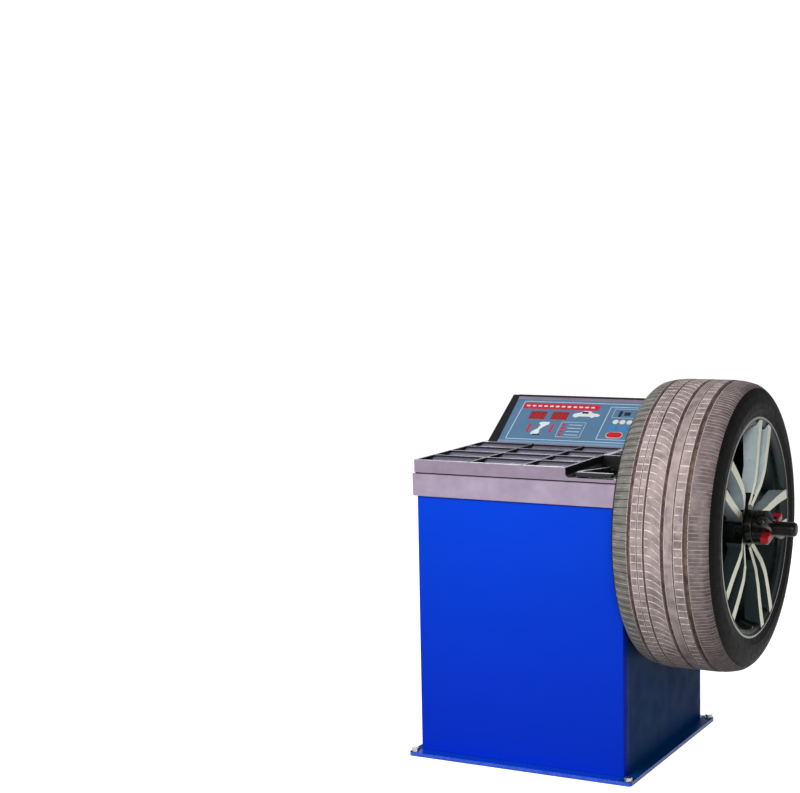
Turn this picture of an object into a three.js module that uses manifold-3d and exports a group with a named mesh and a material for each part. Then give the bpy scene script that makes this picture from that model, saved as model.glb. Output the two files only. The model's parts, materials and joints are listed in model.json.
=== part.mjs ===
// A computer wheel balancer with a car wheel clamped on its spindle.
//
// Machine frame, in millimetres: X runs from the cabinet's left side towards the end of the
// spindle, Y from the front face to the back, Z up from the floor. The exported group is shifted
// so that its origin is the middle of the bounding box's bottom face.

import * as THREE from 'three';
import { mergeVertices } from 'three/addons/utils/BufferGeometryUtils.js';
import Module from 'manifold-3d';

const wasm = await Module();
wasm.setup();

// ---------- Driving dimensions ----------

const GAP = 0.3;
const RAD = Math.PI / 180;

const BASE = { thickness: 10, left: -20, right: 592, front: -36, back: 594, corner: 10 };
const BOLT = { inset: 12, shank: 5, hole: 5.5, washer: 10.5, flats: 17, head: 7 };

const CABINET = { width: 561, depth: 570, sheet: 2, bottom: BASE.thickness + GAP, top: 730.4 };
const FRONT_RETURN = 30;
const REAR_RETURN = 12;

const SKIRT = { left: -11, right: 570, front: -9.4, back: 579.4, bottom: 677, top: 733.7, wall: 3 };
const TRAY = { left: -6, right: 566, front: -6, back: 576, bottom: 734, top: 769, rebate: 3, wall: 6 };
const CORNER = { frontRight: 28, other: 10 };

const BIN = { front: 8, pitch: 96, ridge: 6, rows: 4, deep: 748, shallow: 764 };
const BIN_COLUMNS = [[0, 144], [152, 292], [300, 409]];
const SIDE_BIN_COLUMN = [430, 558];

const NOTCH = { left: 415, back: 240, ledge: 745, fillet: 10 };
const PAN = { left: 421, right: 549, front: 13, back: 238.5, floor: 724, rim: 744.5, wall: 2 };
const SKIRT_OPENING = { left: 12, right: 552, front: 12, back: 558 };

const CONSOLE = { left: 8, right: 545, front: 398, back: 578, slope: 33, length: 208, cheek: 18.7 };
const OVERLAY = { left: 29.5, right: 523.5, low: 10, high: 190, thickness: 2.2 };
const DIGITS = { low: 104, high: 138, windows: [['left', 92, 140], ['right', 158, 206]] };

// Keys on the sloping face: x along the console, up the slope, and the half sizes.
const KEYS = [
  { name: 'key_round_left', x: 352, up: 104, half: [8.5, 8.5], round: 8.5, finish: 'whiteKey' },
  { name: 'key_round_middle', x: 372, up: 104, half: [8.5, 8.5], round: 8.5, finish: 'whiteKey' },
  { name: 'key_round_right', x: 392, up: 104, half: [8.5, 8.5], round: 8.5, finish: 'whiteKey' },
  { name: 'key_blue_left', x: 352, up: 77, half: [10, 9], round: 3, finish: 'blueKey' },
  { name: 'key_blue_right', x: 384, up: 77, half: [10, 9], round: 3, finish: 'blueKey' },
  { name: 'key_stop', x: 365, up: 49, half: [22, 11], round: 11, finish: 'redKey' },
  { name: 'key_start', x: 422, up: 49, half: [22, 11], round: 11, finish: 'greenKey' },
];
const KEY_PROUD = 1;

const SPINDLE = { y: 199, z: 616, journal: 20, thread: 18, end: 932 };
const HOUSING = { left: 215, right: 645, radius: 45, bore: 36 };
const FLANGE = { back: 668, face: 730, radius: 90, recess: 50, depth: 30 };
const PULLEY = { x: 168, width: 24, large: 100, small: 14.3 };
const BELT = { thickness: 2.5, width: 18 };
const MOTOR = { y: 368, z: 300, left: 200, right: 390, radius: 62, shaft: 8 };
const POST = { left: 230, right: 420, front: 140, back: 258, wall: 6, top: 530, plate: 8 };
const SENSOR_X = 400;
const POWER_BOARD = { front: 300, back: 460, low: 300, high: 420 };
const VENTS = { columns: 2, rows: 8, left: 150, step: 160, length: 100, low: 430, pitch: 18, height: 6 };

const BEARINGS = { width: 22, places: [['inner', 232], ['outer', 612]] };

const WHEEL = { centre: 707.5, radius: 358, flange: 271, halfWidth: 124.5, hubFace: 812, bore: 36.3 };
const HUB = { seat: 44, radius: 74, sunk: 14, lugCircle: 58, lugHole: 7.5 };
const SPOKES = {
  pairs: 5, first: 16.5, rootWidth: 17, tipWidth: 24, root: 24, tip: 268, back: 775, front: 840,
};
// A bar's middle line: its distance from the axis, and how far it stands from its pair's middle.
const BAR_LINE = [[24, 6], [60, 11], [100, 21], [130, 28.5], [160, 33], [200, 36.5], [240, 38], [268, 38]];
const VALVE = { angle: 163.5, seat: 104, radius: 232, lean: 20, length: 34, stem: 4 };

// The quick nut: a drum against the cup, a narrower collar, two grips and two release buttons.
const CUP = { radius: 41.5, depth: 18 };
const NUT = { length: 44, drum: 33, collar: 25, gripRadius: 14, gripReach: 76, gripInset: 38 };
const GRIP_ANGLES = [70, 250];
const BUTTON = { angles: [110, 290], low: 31, high: 62, halfWidth: 8, thickness: 14, boss: 36 };

const GAUGE = { y: 215, z: 736, rod: 5, arm: 439, armWidth: 12, tip: 535 };
const GAUGE_BAR = { front: 2, bend: 30, back: 16, low: 746.8, high: 758, screws: [483, 518], screw: 3.6 };

const INLET = { x: 440, z: 190 };
const SWITCH = { x: 490, z: 190, pivot: CABINET.depth - 4, offTilt: -8 };

// ---------- Solids from three.js geometry, joined and cut ----------

function signedVolume(position, index) {
  let total = 0;
  const [a, b, c] = [new THREE.Vector3(), new THREE.Vector3(), new THREE.Vector3()];
  for (let i = 0; i < index.length; i += 3) {
    a.fromArray(position, index[i] * 3);
    b.fromArray(position, index[i + 1] * 3);
    c.fromArray(position, index[i + 2] * 3);
    total += a.dot(b.cross(c)) / 6;
  }
  return total;
}

// A closed solid from a three.js geometry, with its faces turned outwards.
function solid(geometry) {
  const bare = geometry.clone();
  bare.deleteAttribute('normal');
  bare.deleteAttribute('uv');
  const joined = mergeVertices(bare, 1e-3);
  const position = joined.attributes.position.array;
  const source = joined.index.array;
  const index = [];
  for (let i = 0; i < source.length; i += 3) {
    const [a, b, c] = [source[i], source[i + 1], source[i + 2]];
    if (a !== b && b !== c && c !== a) index.push(a, b, c);
  }
  if (signedVolume(position, index) < 0) index.reverse();
  return new wasm.Manifold(new wasm.Mesh({
    numProp: 3,
    vertProperties: new Float32Array(position),
    triVerts: new Uint32Array(index),
  }));
}

function join(first, ...others) {
  return others.reduce((whole, piece) => whole.add(piece), first);
}

function cut(whole, ...tools) {
  return tools.reduce((rest, tool) => rest.subtract(tool), whole);
}

// A box between two corners.
function block(x0, x1, y0, y1, z0, z1) {
  const geometry = new THREE.BoxGeometry(x1 - x0, y1 - y0, z1 - z0);
  geometry.translate((x0 + x1) / 2, (y0 + y1) / 2, (z0 + z1) / 2);
  return solid(geometry);
}

function outline(points) {
  return new THREE.Shape(points.map(([u, v]) => new THREE.Vector2(u, v)));
}

// A rectangle with a radius at each corner, given as front left, front right, back right, back left.
function roundedOutline(x0, x1, y0, y1, radii) {
  const [fl, fr, br, bl] = radii;
  const shape = new THREE.Shape();
  shape.moveTo(x0 + fl, y0);
  shape.lineTo(x1 - fr, y0);
  shape.absarc(x1 - fr, y0 + fr, fr, -Math.PI / 2, 0, false);
  shape.lineTo(x1, y1 - br);
  shape.absarc(x1 - br, y1 - br, br, 0, Math.PI / 2, false);
  shape.lineTo(x0 + bl, y1);
  shape.absarc(x0 + bl, y1 - bl, bl, Math.PI / 2, Math.PI, false);
  shape.lineTo(x0, y0 + fl);
  shape.absarc(x0 + fl, y0 + fl, fl, Math.PI, Math.PI * 1.5, false);
  return shape;
}

// A plan outline raised from z0 to z1.
function raised(shape, z0, z1, curveSegments = 6) {
  const geometry = new THREE.ExtrudeGeometry(shape, { depth: z1 - z0, bevelEnabled: false, curveSegments });
  geometry.translate(0, 0, z0);
  return solid(geometry);
}

// A section drawn as (y, z), drawn out along X from x0 to x1.
function section(shape, x0, x1, curveSegments = 6) {
  const geometry = new THREE.ExtrudeGeometry(shape, { depth: x1 - x0, bevelEnabled: false, curveSegments });
  const turn = new THREE.Matrix4().set(0, 0, 1, x0, 1, 0, 0, 0, 0, 1, 0, 0, 0, 0, 0, 1);
  geometry.applyMatrix4(turn);
  return solid(geometry);
}

// A profile of (x, radius) points turned about the X axis.
function turned(profile, segments = 32) {
  const points = profile.map(([x, radius]) => new THREE.Vector2(radius, x));
  const geometry = new THREE.LatheGeometry([...points, points[0]], segments);
  geometry.rotateZ(-Math.PI / 2);
  return solid(geometry);
}

function ring(x0, x1, inner, outer, segments = 32) {
  return turned([[x0, inner], [x1, inner], [x1, outer], [x0, outer]], segments);
}

function rod(x0, x1, radius, segments = 24) {
  return turned([[x0, 0], [x0, radius], [x1, radius], [x1, 0]], segments);
}

// A cylinder standing on (x, y) from z0 to z1.
function post(x, y, z0, z1, radius, segments = 20) {
  const geometry = new THREE.CylinderGeometry(radius, radius, z1 - z0, segments);
  geometry.rotateX(Math.PI / 2);
  geometry.translate(x, y, (z0 + z1) / 2);
  return solid(geometry);
}

function moved(shape, x, y, z) {
  return shape.translate([x, y, z]);
}

// ---------- Finishes ----------

const FINISH = {
  bluePaint: { color: 0x0b3fb8, roughness: 0.32, metalness: 0.1 },
  greyPlastic: { color: 0x9a8f9e, roughness: 0.45, metalness: 0 },
  blackPlastic: { color: 0x17181a, roughness: 0.4, metalness: 0 },
  overlay: { color: 0x5b7f9c, roughness: 0.4, metalness: 0 },
  redWindow: { color: 0x8c0a0c, roughness: 0.15, metalness: 0 },
  whiteKey: { color: 0xe6e8e8, roughness: 0.4, metalness: 0 },
  blueKey: { color: 0x3f8fd6, roughness: 0.4, metalness: 0 },
  redKey: { color: 0xd8364a, roughness: 0.4, metalness: 0 },
  greenKey: { color: 0x2f9a55, roughness: 0.4, metalness: 0 },
  steel: { color: 0x9a9da0, roughness: 0.35, metalness: 1 },
  zinc: { color: 0xc9ccc8, roughness: 0.3, metalness: 1 },
  castIron: { color: 0x3c4043, roughness: 0.7, metalness: 0.6 },
  motorPaint: { color: 0x55595c, roughness: 0.5, metalness: 0.3 },
  circuit: { color: 0x1d5a34, roughness: 0.5, metalness: 0 },
  beltRubber: { color: 0x1c1c1c, roughness: 0.8, metalness: 0 },
  tyreRubber: { color: 0x3a3634, roughness: 0.85, metalness: 0 },
  alloy: { color: 0xb9bab2, roughness: 0.28, metalness: 1 },
  darkAlloy: { color: 0x3a3f40, roughness: 0.45, metalness: 0.8 },
};

// Adds one named mesh to a group.
function part(group, name, shape, finish) {
  const mesh = shape.getMesh();
  const geometry = new THREE.BufferGeometry();
  geometry.setAttribute('position', new THREE.BufferAttribute(new Float32Array(mesh.vertProperties), 3));
  geometry.setIndex(new THREE.BufferAttribute(new Uint32Array(mesh.triVerts), 1));
  geometry.computeVertexNormals();
  const node = new THREE.Mesh(geometry, new THREE.MeshStandardMaterial(FINISH[finish]));
  node.name = name;
  group.add(node);
  return node;
}

const machine = new THREE.Group();

// ---------- Base plate and its bolts ----------

const boltPlaces = [
  ['front_left', BASE.left + BOLT.inset, BASE.front + BOLT.inset + 2],
  ['front_right', BASE.right - BOLT.inset, BASE.front + BOLT.inset + 2],
  ['rear_right', BASE.right - BOLT.inset, BASE.back - BOLT.inset],
  ['rear_left', BASE.left + BOLT.inset, BASE.back - BOLT.inset],
];

function buildBase() {
  const corner = BASE.corner;
  const plan = roundedOutline(BASE.left, BASE.right, BASE.front, BASE.back, [corner, corner, corner, corner]);
  const holes = boltPlaces.map(([, x, y]) => post(x, y, -1, BASE.thickness + 1, BOLT.hole));
  part(machine, 'base_plate', cut(raised(plan, 0, BASE.thickness), ...holes), 'bluePaint');
  for (const [place, x, y] of boltPlaces) {
    const seat = BASE.thickness + GAP;
    const shank = post(x, y, 2, seat + 2, BOLT.shank, 12);
    const washer = post(x, y, seat, seat + 1.6, BOLT.washer);
    const hexRadius = BOLT.flats / Math.sqrt(3);
    const head = post(x, y, seat + 1, seat + 1.6 + BOLT.head, hexRadius, 6);
    part(machine, `anchor_bolt_${place}`, join(shank, washer, head), 'zinc');
  }
}

// ---------- Cabinet panels ----------

// A channel in plan: a flat face with a folded return at each end.
function channel(face, inside, depth, returnLength) {
  const { width, sheet } = CABINET;
  const inward = Math.sign(depth - face);
  const tip = face + inward * returnLength;
  const bend = 3;
  return outline([
    [0, tip], [0, face + inward * bend], [bend * 0.3, face + inward * bend * 0.3], [bend, face],
    [width - bend, face], [width - bend * 0.3, face + inward * bend * 0.3],
    [width, face + inward * bend], [width, tip], [width - sheet, tip],
    [width - sheet, inside], [sheet, inside], [sheet, tip],
  ]);
}

function buildCabinet() {
  const { width, depth, sheet, bottom, top } = CABINET;
  const front = raised(channel(0, sheet, depth, FRONT_RETURN), bottom, top);
  part(machine, 'front_panel', front, 'bluePaint');

  const sideFront = FRONT_RETURN + 2 * GAP;
  const sideBack = depth - REAR_RETURN - 2 * GAP;
  part(machine, 'left_side_panel', block(0, sheet, sideFront, sideBack, bottom, top), 'bluePaint');
  const spindleHole = moved(rod(width - 10, width + 10, HOUSING.radius + 3, 40), 0, SPINDLE.y, SPINDLE.z);
  const right = cut(block(width - sheet, width, sideFront, sideBack, bottom, top), spindleHole);
  part(machine, 'right_side_panel', right, 'bluePaint');

  const vents = [];
  for (let column = 0; column < VENTS.columns; column += 1) {
    for (let row = 0; row < VENTS.rows; row += 1) {
      const x = VENTS.left + column * VENTS.step;
      const z = VENTS.low + row * VENTS.pitch;
      vents.push(block(x, x + VENTS.length, depth - 10, depth + 10, z, z + VENTS.height));
    }
  }
  const inletHole = block(
    INLET.x - 14, INLET.x + 14, depth - 10, depth + 10, INLET.z - 11, INLET.z + 11);
  const switchHole = block(
    SWITCH.x - 11, SWITCH.x + 11, depth - 10, depth + 10, SWITCH.z - 14, SWITCH.z + 14);
  const rear = raised(channel(depth, depth - sheet, 0, REAR_RETURN), bottom, top);
  part(machine, 'rear_panel', cut(rear, inletHole, switchHole, ...vents), 'bluePaint');
}

// ---------- Power inlet and switch, in the rear panel ----------

function buildPower() {
  const outside = CABINET.depth + GAP;
  const body = block(INLET.x - 13, INLET.x + 13, outside - 26, outside + 2, INLET.z - 10, INLET.z + 10);
  const flange = block(INLET.x - 24, INLET.x + 24, outside, outside + 2, INLET.z - 14, INLET.z + 14);
  const recess = block(INLET.x - 11, INLET.x + 11, outside - 18, outside + 5, INLET.z - 8, INLET.z + 8);
  part(machine, 'power_inlet', cut(join(body, flange), recess), 'blackPlastic');

  // The rocker's outline about its pivot, tipped to the off position.
  const rocker = section(outline([[-7, -8], [8.5, -12.5], [6, 0], [8.5, 12.5], [-7, 8]]), -9.5, 9.5);
  const tipped = rocker.rotate([SWITCH.offTilt, 0, 0]);
  part(machine, 'power_switch', moved(tipped, SWITCH.x, SWITCH.pivot, SWITCH.z), 'blackPlastic');
}

// ---------- Skirt and weight tray ----------

function cornerRadii(grow) {
  const other = CORNER.other + grow;
  return [other, CORNER.frontRight + grow, other, other];
}

function buildSkirt() {
  const { left, right, front, back, bottom, top, wall } = SKIRT;
  const outer = raised(roundedOutline(left, right, front, back, cornerRadii(0)), bottom, top);
  const inner = cornerRadii(-wall);
  inner[1] = CORNER.frontRight - 2 * wall;
  const hollow = raised(
    roundedOutline(left + wall, right - wall, front + wall, back - wall, inner), bottom - 1, top - wall);
  const hole = SKIRT_OPENING;
  const opening = block(hole.left, hole.right, hole.front, hole.back, top - 10, top + 10);
  part(machine, 'tray_skirt', cut(outer, hollow, opening), 'greyPlastic');
}

// One compartment: a floor that rises from the front to the back.
function bin(x0, x1, y0, y1) {
  const lip = TRAY.top + 5;
  const ramp = outline([[y0, lip], [y0, BIN.deep], [y0 + 10, BIN.deep], [y1, BIN.shallow], [y1, lip]]);
  return section(ramp, x0, x1);
}

function buildTray() {
  const { left, right, front, back, bottom, top, rebate, wall } = TRAY;
  const rim = raised(roundedOutline(left, right, front, back, cornerRadii(-4)), bottom + rebate, top);
  // The lowest few millimetres stand back, which leaves a shadow line above the skirt.
  const foot = raised(roundedOutline(left + rebate, right - rebate, front + rebate, back - rebate,
    cornerRadii(-4 - rebate)), bottom, bottom + rebate + 1);
  const body = join(rim, foot);
  const hollowTop = BIN.deep - 3;
  const underside = block(left + wall, NOTCH.left - 3, front + wall, back - wall, bottom - 1, hollowTop);
  const rearUnderside = block(
    NOTCH.left - 4, right - wall, NOTCH.back + 3, back - wall, bottom - 1, hollowTop);

  const bins = [];
  for (const [x0, x1] of BIN_COLUMNS) {
    for (let row = 0; row < BIN.rows; row += 1) {
      const y0 = BIN.front + row * BIN.pitch;
      bins.push(bin(x0, x1, y0, y0 + BIN.pitch - BIN.ridge));
    }
  }
  const lastRow = BIN.front + (BIN.rows - 1) * BIN.pitch;
  bins.push(bin(SIDE_BIN_COLUMN[0], SIDE_BIN_COLUMN[1], lastRow, lastRow + BIN.pitch - BIN.ridge));
  bins.push(bin(SIDE_BIN_COLUMN[0], SIDE_BIN_COLUMN[1], NOTCH.back + 8, lastRow - BIN.ridge));

  // The notch is open at the front and at the right, with a rounded lower left corner.
  const { left: notchLeft, back: notchBack, ledge, fillet } = NOTCH;
  const mouth = new THREE.Shape();
  mouth.moveTo(notchLeft, top + 5);
  mouth.lineTo(notchLeft, ledge + fillet);
  mouth.absarc(notchLeft + fillet, ledge + fillet, fillet, Math.PI, Math.PI * 1.5, false);
  mouth.lineTo(right + 10, ledge);
  mouth.lineTo(right + 10, top + 5);
  const mouthGeometry = new THREE.ExtrudeGeometry(mouth, {
    depth: notchBack - front + 10, bevelEnabled: false, curveSegments: 6,
  });
  mouthGeometry.rotateX(Math.PI / 2);
  mouthGeometry.translate(0, notchBack, 0);
  const well = block(PAN.left - GAP, PAN.right + GAP, PAN.front - GAP, PAN.back + GAP, bottom - 1, ledge + 1);
  const bushPocket = block(PAN.left - 33, PAN.left, GAUGE.y - 13, GAUGE.y + 13, bottom - 1, GAUGE.z + 7);
  const tray = cut(body, underside, rearUnderside, solid(mouthGeometry), well, bushPocket, ...bins);
  part(machine, 'weight_tray', tray, 'greyPlastic');
}

// ---------- Distance gauge ----------

function buildGauge() {
  const { left, right, floor, rim, wall } = PAN;
  const shell = block(left, right, PAN.front, PAN.back, floor, rim);
  const hollow = block(
    left + wall, right - wall, PAN.front + wall, PAN.back - wall, floor + wall, rim + 5);
  const rodHole = moved(rod(left - 5, left + 5, GAUGE.rod + 1), 0, GAUGE.y, GAUGE.z);
  part(machine, 'gauge_pan', cut(shell, hollow, rodHole), 'blackPlastic');

  const bushBlock = block(left - 30, left - GAP, GAUGE.y - 12, GAUGE.y + 12, GAUGE.z - 10, GAUGE.z + 6.4);
  const bushBore = moved(rod(left - 40, left + 10, GAUGE.rod + GAP), 0, GAUGE.y, GAUGE.z);
  part(machine, 'gauge_bushing', cut(bushBlock, bushBore), 'blackPlastic');

  const shaft = moved(rod(330, GAUGE.arm + GAUGE.armWidth + 2, GAUGE.rod), 0, GAUGE.y, GAUGE.z);
  part(machine, 'gauge_rod', shaft, 'steel');

  const armRight = GAUGE.arm + GAUGE.armWidth;
  const { front, bend, back: tipBack, low, high, screws: screwPlaces, screw } = GAUGE_BAR;
  const bar = section(outline([
    [front, low], [bend, low], [GAUGE.y, GAUGE.z - 6], [GAUGE.y, GAUGE.z + 7], [bend, high], [front, high],
  ]), GAUGE.arm, armRight);
  const hub = moved(rod(GAUGE.arm, armRight, 9), 0, GAUGE.y, GAUGE.z);
  const bore = moved(rod(GAUGE.arm - 5, armRight + 5, GAUGE.rod + GAP), 0, GAUGE.y, GAUGE.z);
  const tip = raised(roundedOutline(GAUGE.arm, GAUGE.tip, front, tipBack, [1, 6, 6, 1]), low, high, 4);
  const screws = screwPlaces.map((x) => {
    const head = new THREE.CylinderGeometry(screw, screw, 3, 12);
    head.translate(x, front, (low + high) / 2);
    return solid(head);
  });
  part(machine, 'gauge_arm', cut(join(bar, hub, tip, ...screws), bore), 'blackPlastic');
}

// ---------- Console ----------

const slopeAngle = CONSOLE.slope * RAD;
const consoleFoot = TRAY.top + GAP;

// A point at a distance up the sloping face and a depth below it, as (y, z).
function onSlope(distance, depth) {
  return [
    CONSOLE.front + distance * Math.cos(slopeAngle) + depth * Math.sin(slopeAngle),
    consoleFoot + distance * Math.sin(slopeAngle) - depth * Math.cos(slopeAngle),
  ];
}

function consoleSection() {
  const [topY, topZ] = onSlope(CONSOLE.length, 0);
  return outline([
    [CONSOLE.front, consoleFoot], [topY, topZ], [CONSOLE.back, topZ], [CONSOLE.back, consoleFoot],
  ]);
}

function buildConsole() {
  const bodyLeft = CONSOLE.left + CONSOLE.cheek + GAP;
  const bodyRight = CONSOLE.right - CONSOLE.cheek - GAP;
  const whole = section(consoleSection(), bodyLeft, bodyRight);
  const [innerTopY, innerTopZ] = onSlope(CONSOLE.length - 6, 6);
  const hollow = section(outline([
    onSlope(8, 6), [innerTopY, innerTopZ], [CONSOLE.back - 3, innerTopZ],
    [CONSOLE.back - 3, consoleFoot - 5], [onSlope(8, 6)[0], consoleFoot - 5],
  ]), bodyLeft - 5, bodyRight + 5);

  // Sloping frame: local X along the machine, local Y up the slope, local Z out of the face.
  const panel = new THREE.Group();
  panel.position.set(0, CONSOLE.front, consoleFoot);
  panel.rotation.x = slopeAngle;
  machine.add(panel);

  const { left, right, low, high, thickness } = OVERLAY;
  const seat = -thickness - 0.8;
  const tilt = (shape) => moved(shape.rotate([CONSOLE.slope, 0, 0]), 0, CONSOLE.front, consoleFoot);
  const recess = tilt(block(left - GAP, right + GAP, low - GAP, high + GAP, seat, 10));
  const window = tilt(block(left + 8, right - 8, low + 8, high - 8, -20, 10));
  part(machine, 'console_housing', cut(whole, hollow, recess, window), 'greyPlastic');

  const leftCheek = section(consoleSection(), CONSOLE.left, bodyLeft - GAP);
  const rightCheek = section(consoleSection(), bodyRight + GAP, CONSOLE.right);
  part(machine, 'console_cheek_left', leftCheek, 'blackPlastic');
  part(machine, 'console_cheek_right', rightCheek, 'blackPlastic');

  const face = seat + GAP + thickness;
  const plate = block(left, right, low, high, seat + GAP, face);
  const { low: digitLow, high: digitHigh, windows } = DIGITS;
  const digitHoles = windows.map(([, x0, x1]) => block(x0, x1, digitLow, digitHigh, -20, 10));
  const keyHoles = KEYS.map((key) => keyShape(key, GAP, -20, 10));
  part(panel, 'console_overlay', cut(plate, ...digitHoles, ...keyHoles), 'overlay');
  for (const [side, x0, x1] of windows) {
    const pane = block(x0 + GAP, x1 - GAP, digitLow + GAP, digitHigh - GAP, seat + GAP - 2, face - 0.1);
    part(panel, `digit_window_${side}`, pane, 'redWindow');
  }
  for (const key of KEYS) {
    part(panel, key.name, keyShape(key, 0, seat + GAP - 3, face + KEY_PROUD), key.finish);
  }
  const board = block(60, 500, 42, 175, -16, -14.4);
  const displayBlock = block(84, 207, 108, 141, -15, -7);
  const controller = block(230, 262, 80, 112, -15, -11);
  part(panel, 'computer_board', join(board, displayBlock, controller), 'circuit');
}

function keyShape(key, grow, z0, z1) {
  const [halfX, halfY] = [key.half[0] + grow, key.half[1] + grow];
  const radius = key.round + grow - 0.01;
  const plan = roundedOutline(key.x - halfX, key.x + halfX, key.up - halfY, key.up + halfY,
    [radius, radius, radius, radius]);
  return raised(plan, z0, z1, 4);
}

// ---------- Spindle, its housing and the force sensors ----------

const spindleAxis = new THREE.Group();
spindleAxis.position.set(0, SPINDLE.y, SPINDLE.z);
machine.add(spindleAxis);

function buildSpindle() {
  const shaft = turned([
    [142, 0], [142, 12], [155, 12], [155, 15], [222, 15], [222, SPINDLE.journal],
    [FLANGE.back - 2, SPINDLE.journal], [FLANGE.back - 2, SPINDLE.thread],
    [SPINDLE.end - 4, SPINDLE.thread], [SPINDLE.end, SPINDLE.thread - 4], [SPINDLE.end, 0],
  ], 24);
  part(spindleAxis, 'spindle_shaft', shaft, 'steel');

  const bore = SPINDLE.thread + GAP;
  const { back, face, radius, recess, depth } = FLANGE;
  const flange = turned([
    [back, bore], [face - depth, bore], [face - depth, recess], [face, recess], [face, radius],
    [face - 16, radius], [face - 20, 62], [back, 56],
  ], 40);
  part(spindleAxis, 'mounting_flange', flange, 'steel');

  const coneBack = face - 17;
  const cone = turned([[coneBack, bore], [coneBack + 34, bore], [coneBack + 34, 27], [coneBack + 8, 40],
    [coneBack, 40]], 40);
  part(spindleAxis, 'centring_cone', cone, 'steel');
  const coil = [];
  const coilRadius = 24;
  const steps = 60;
  const springStart = face - depth + 3;
  const springEnd = coneBack - 3;
  for (let i = 0; i <= steps; i += 1) {
    const turn = (i / steps) * 2 * Math.PI * 2.5;
    const x = springStart + (springEnd - springStart) * (i / steps);
    coil.push(new THREE.Vector3(x, coilRadius * Math.cos(turn), coilRadius * Math.sin(turn)));
  }
  const wire = new THREE.Shape();
  wire.absarc(0, 0, 1.4, 0, 2 * Math.PI, false);
  const springGeometry = new THREE.ExtrudeGeometry(wire, {
    extrudePath: new THREE.CatmullRomCurve3(coil), steps: 36, curveSegments: 3, bevelEnabled: false,
  });
  part(spindleAxis, 'cone_spring', solid(springGeometry), 'steel');

  const half = PULLEY.width / 2;
  const pulley = turned([
    [PULLEY.x - half, 15 + GAP], [PULLEY.x + half, 15 + GAP], [PULLEY.x + half, 26],
    [PULLEY.x + 3, 30], [PULLEY.x + 3, PULLEY.large - 8], [PULLEY.x + half, PULLEY.large - 6],
    [PULLEY.x + half, PULLEY.large], [PULLEY.x - half, PULLEY.large], [PULLEY.x - half, PULLEY.large - 6],
    [PULLEY.x - 3, PULLEY.large - 8], [PULLEY.x - 3, 30], [PULLEY.x - half, 26],
  ], 32);
  part(spindleAxis, 'spindle_pulley', pulley, 'castIron');

  const encoder = ring(146, 148, 12 + GAP, 45, 36);
  const slots = [];
  for (let i = 0; i < 12; i += 1) {
    const slot = block(140, 152, -2, 2, 34, 41);
    slots.push(slot.rotate([i * 30, 0, 0]));
  }
  part(spindleAxis, 'encoder_disc', cut(encoder, ...slots), 'blackPlastic');

  const tube = turned([
    [HOUSING.left, HOUSING.bore], [HOUSING.left + 45, HOUSING.bore], [HOUSING.left + 45, 24],
    [HOUSING.right - 60, 24], [HOUSING.right - 60, HOUSING.bore], [HOUSING.right, HOUSING.bore],
    [HOUSING.right, HOUSING.radius], [HOUSING.left, HOUSING.radius],
  ], 32);
  part(spindleAxis, 'spindle_housing', tube, 'castIron');
  for (const [end, x] of BEARINGS.places) {
    const bearing = ring(x, x + BEARINGS.width, SPINDLE.journal + GAP, HOUSING.bore - GAP, 32);
    part(spindleAxis, `${end}_bearing`, bearing, 'steel');
  }
}

function buildSupport() {
  const { left, right, front, back, wall, top, plate } = POST;
  const web = raised(outline([
    [left, front], [right, front], [right, back], [right - wall, back], [right - wall, front + wall],
    [left + wall, front + wall], [left + wall, back], [left, back],
  ]), CABINET.bottom, top);
  const plateTop = top + plate;
  const cap = block(left - 10, right + 10, front - 6, back + 2, top - 1, plateTop);
  part(machine, 'spindle_post', join(web, cap), 'castIron');

  const underHousing = SPINDLE.z - HOUSING.radius;
  const stud = post(SENSOR_X, SPINDLE.y, plateTop + GAP, underHousing - GAP, 7);
  const disc = post(SENSOR_X, SPINDLE.y, plateTop + 10, plateTop + 20, 17);
  part(machine, 'vertical_force_sensor', join(stud, disc), 'zinc');
  const flexureX = left + 16;
  const flexure = block(
    flexureX, flexureX + 3, SPINDLE.y - 32, SPINDLE.y + 32, plateTop + GAP, SPINDLE.z + 10);
  const around = moved(rod(240, 255, HOUSING.radius + GAP, 40), 0, SPINDLE.y, SPINDLE.z);
  part(machine, 'flexure_plate', cut(flexure, around), 'steel');

  // The horizontal sensor stands between the housing and a bracket on the post's top plate.
  const bracketY = SPINDLE.y + HOUSING.radius + 22;
  const [bracketLeft, bracketRight] = [SENSOR_X - 20, SENSOR_X + 20];
  const bracket = join(
    block(bracketLeft, bracketRight, 245, bracketY, plateTop + GAP, plateTop + 6),
    block(bracketLeft, bracketRight, bracketY - 6, bracketY, plateTop + GAP, SPINDLE.z + 20));
  const pinGeometry = new THREE.CylinderGeometry(8, 8, 17, 16);
  pinGeometry.translate(SENSOR_X, SPINDLE.y + HOUSING.radius + GAP + 8.2, SPINDLE.z);
  part(machine, 'horizontal_force_sensor', join(bracket, solid(pinGeometry)), 'zinc');
}

// ---------- Motor, belt and boards ----------

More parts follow.
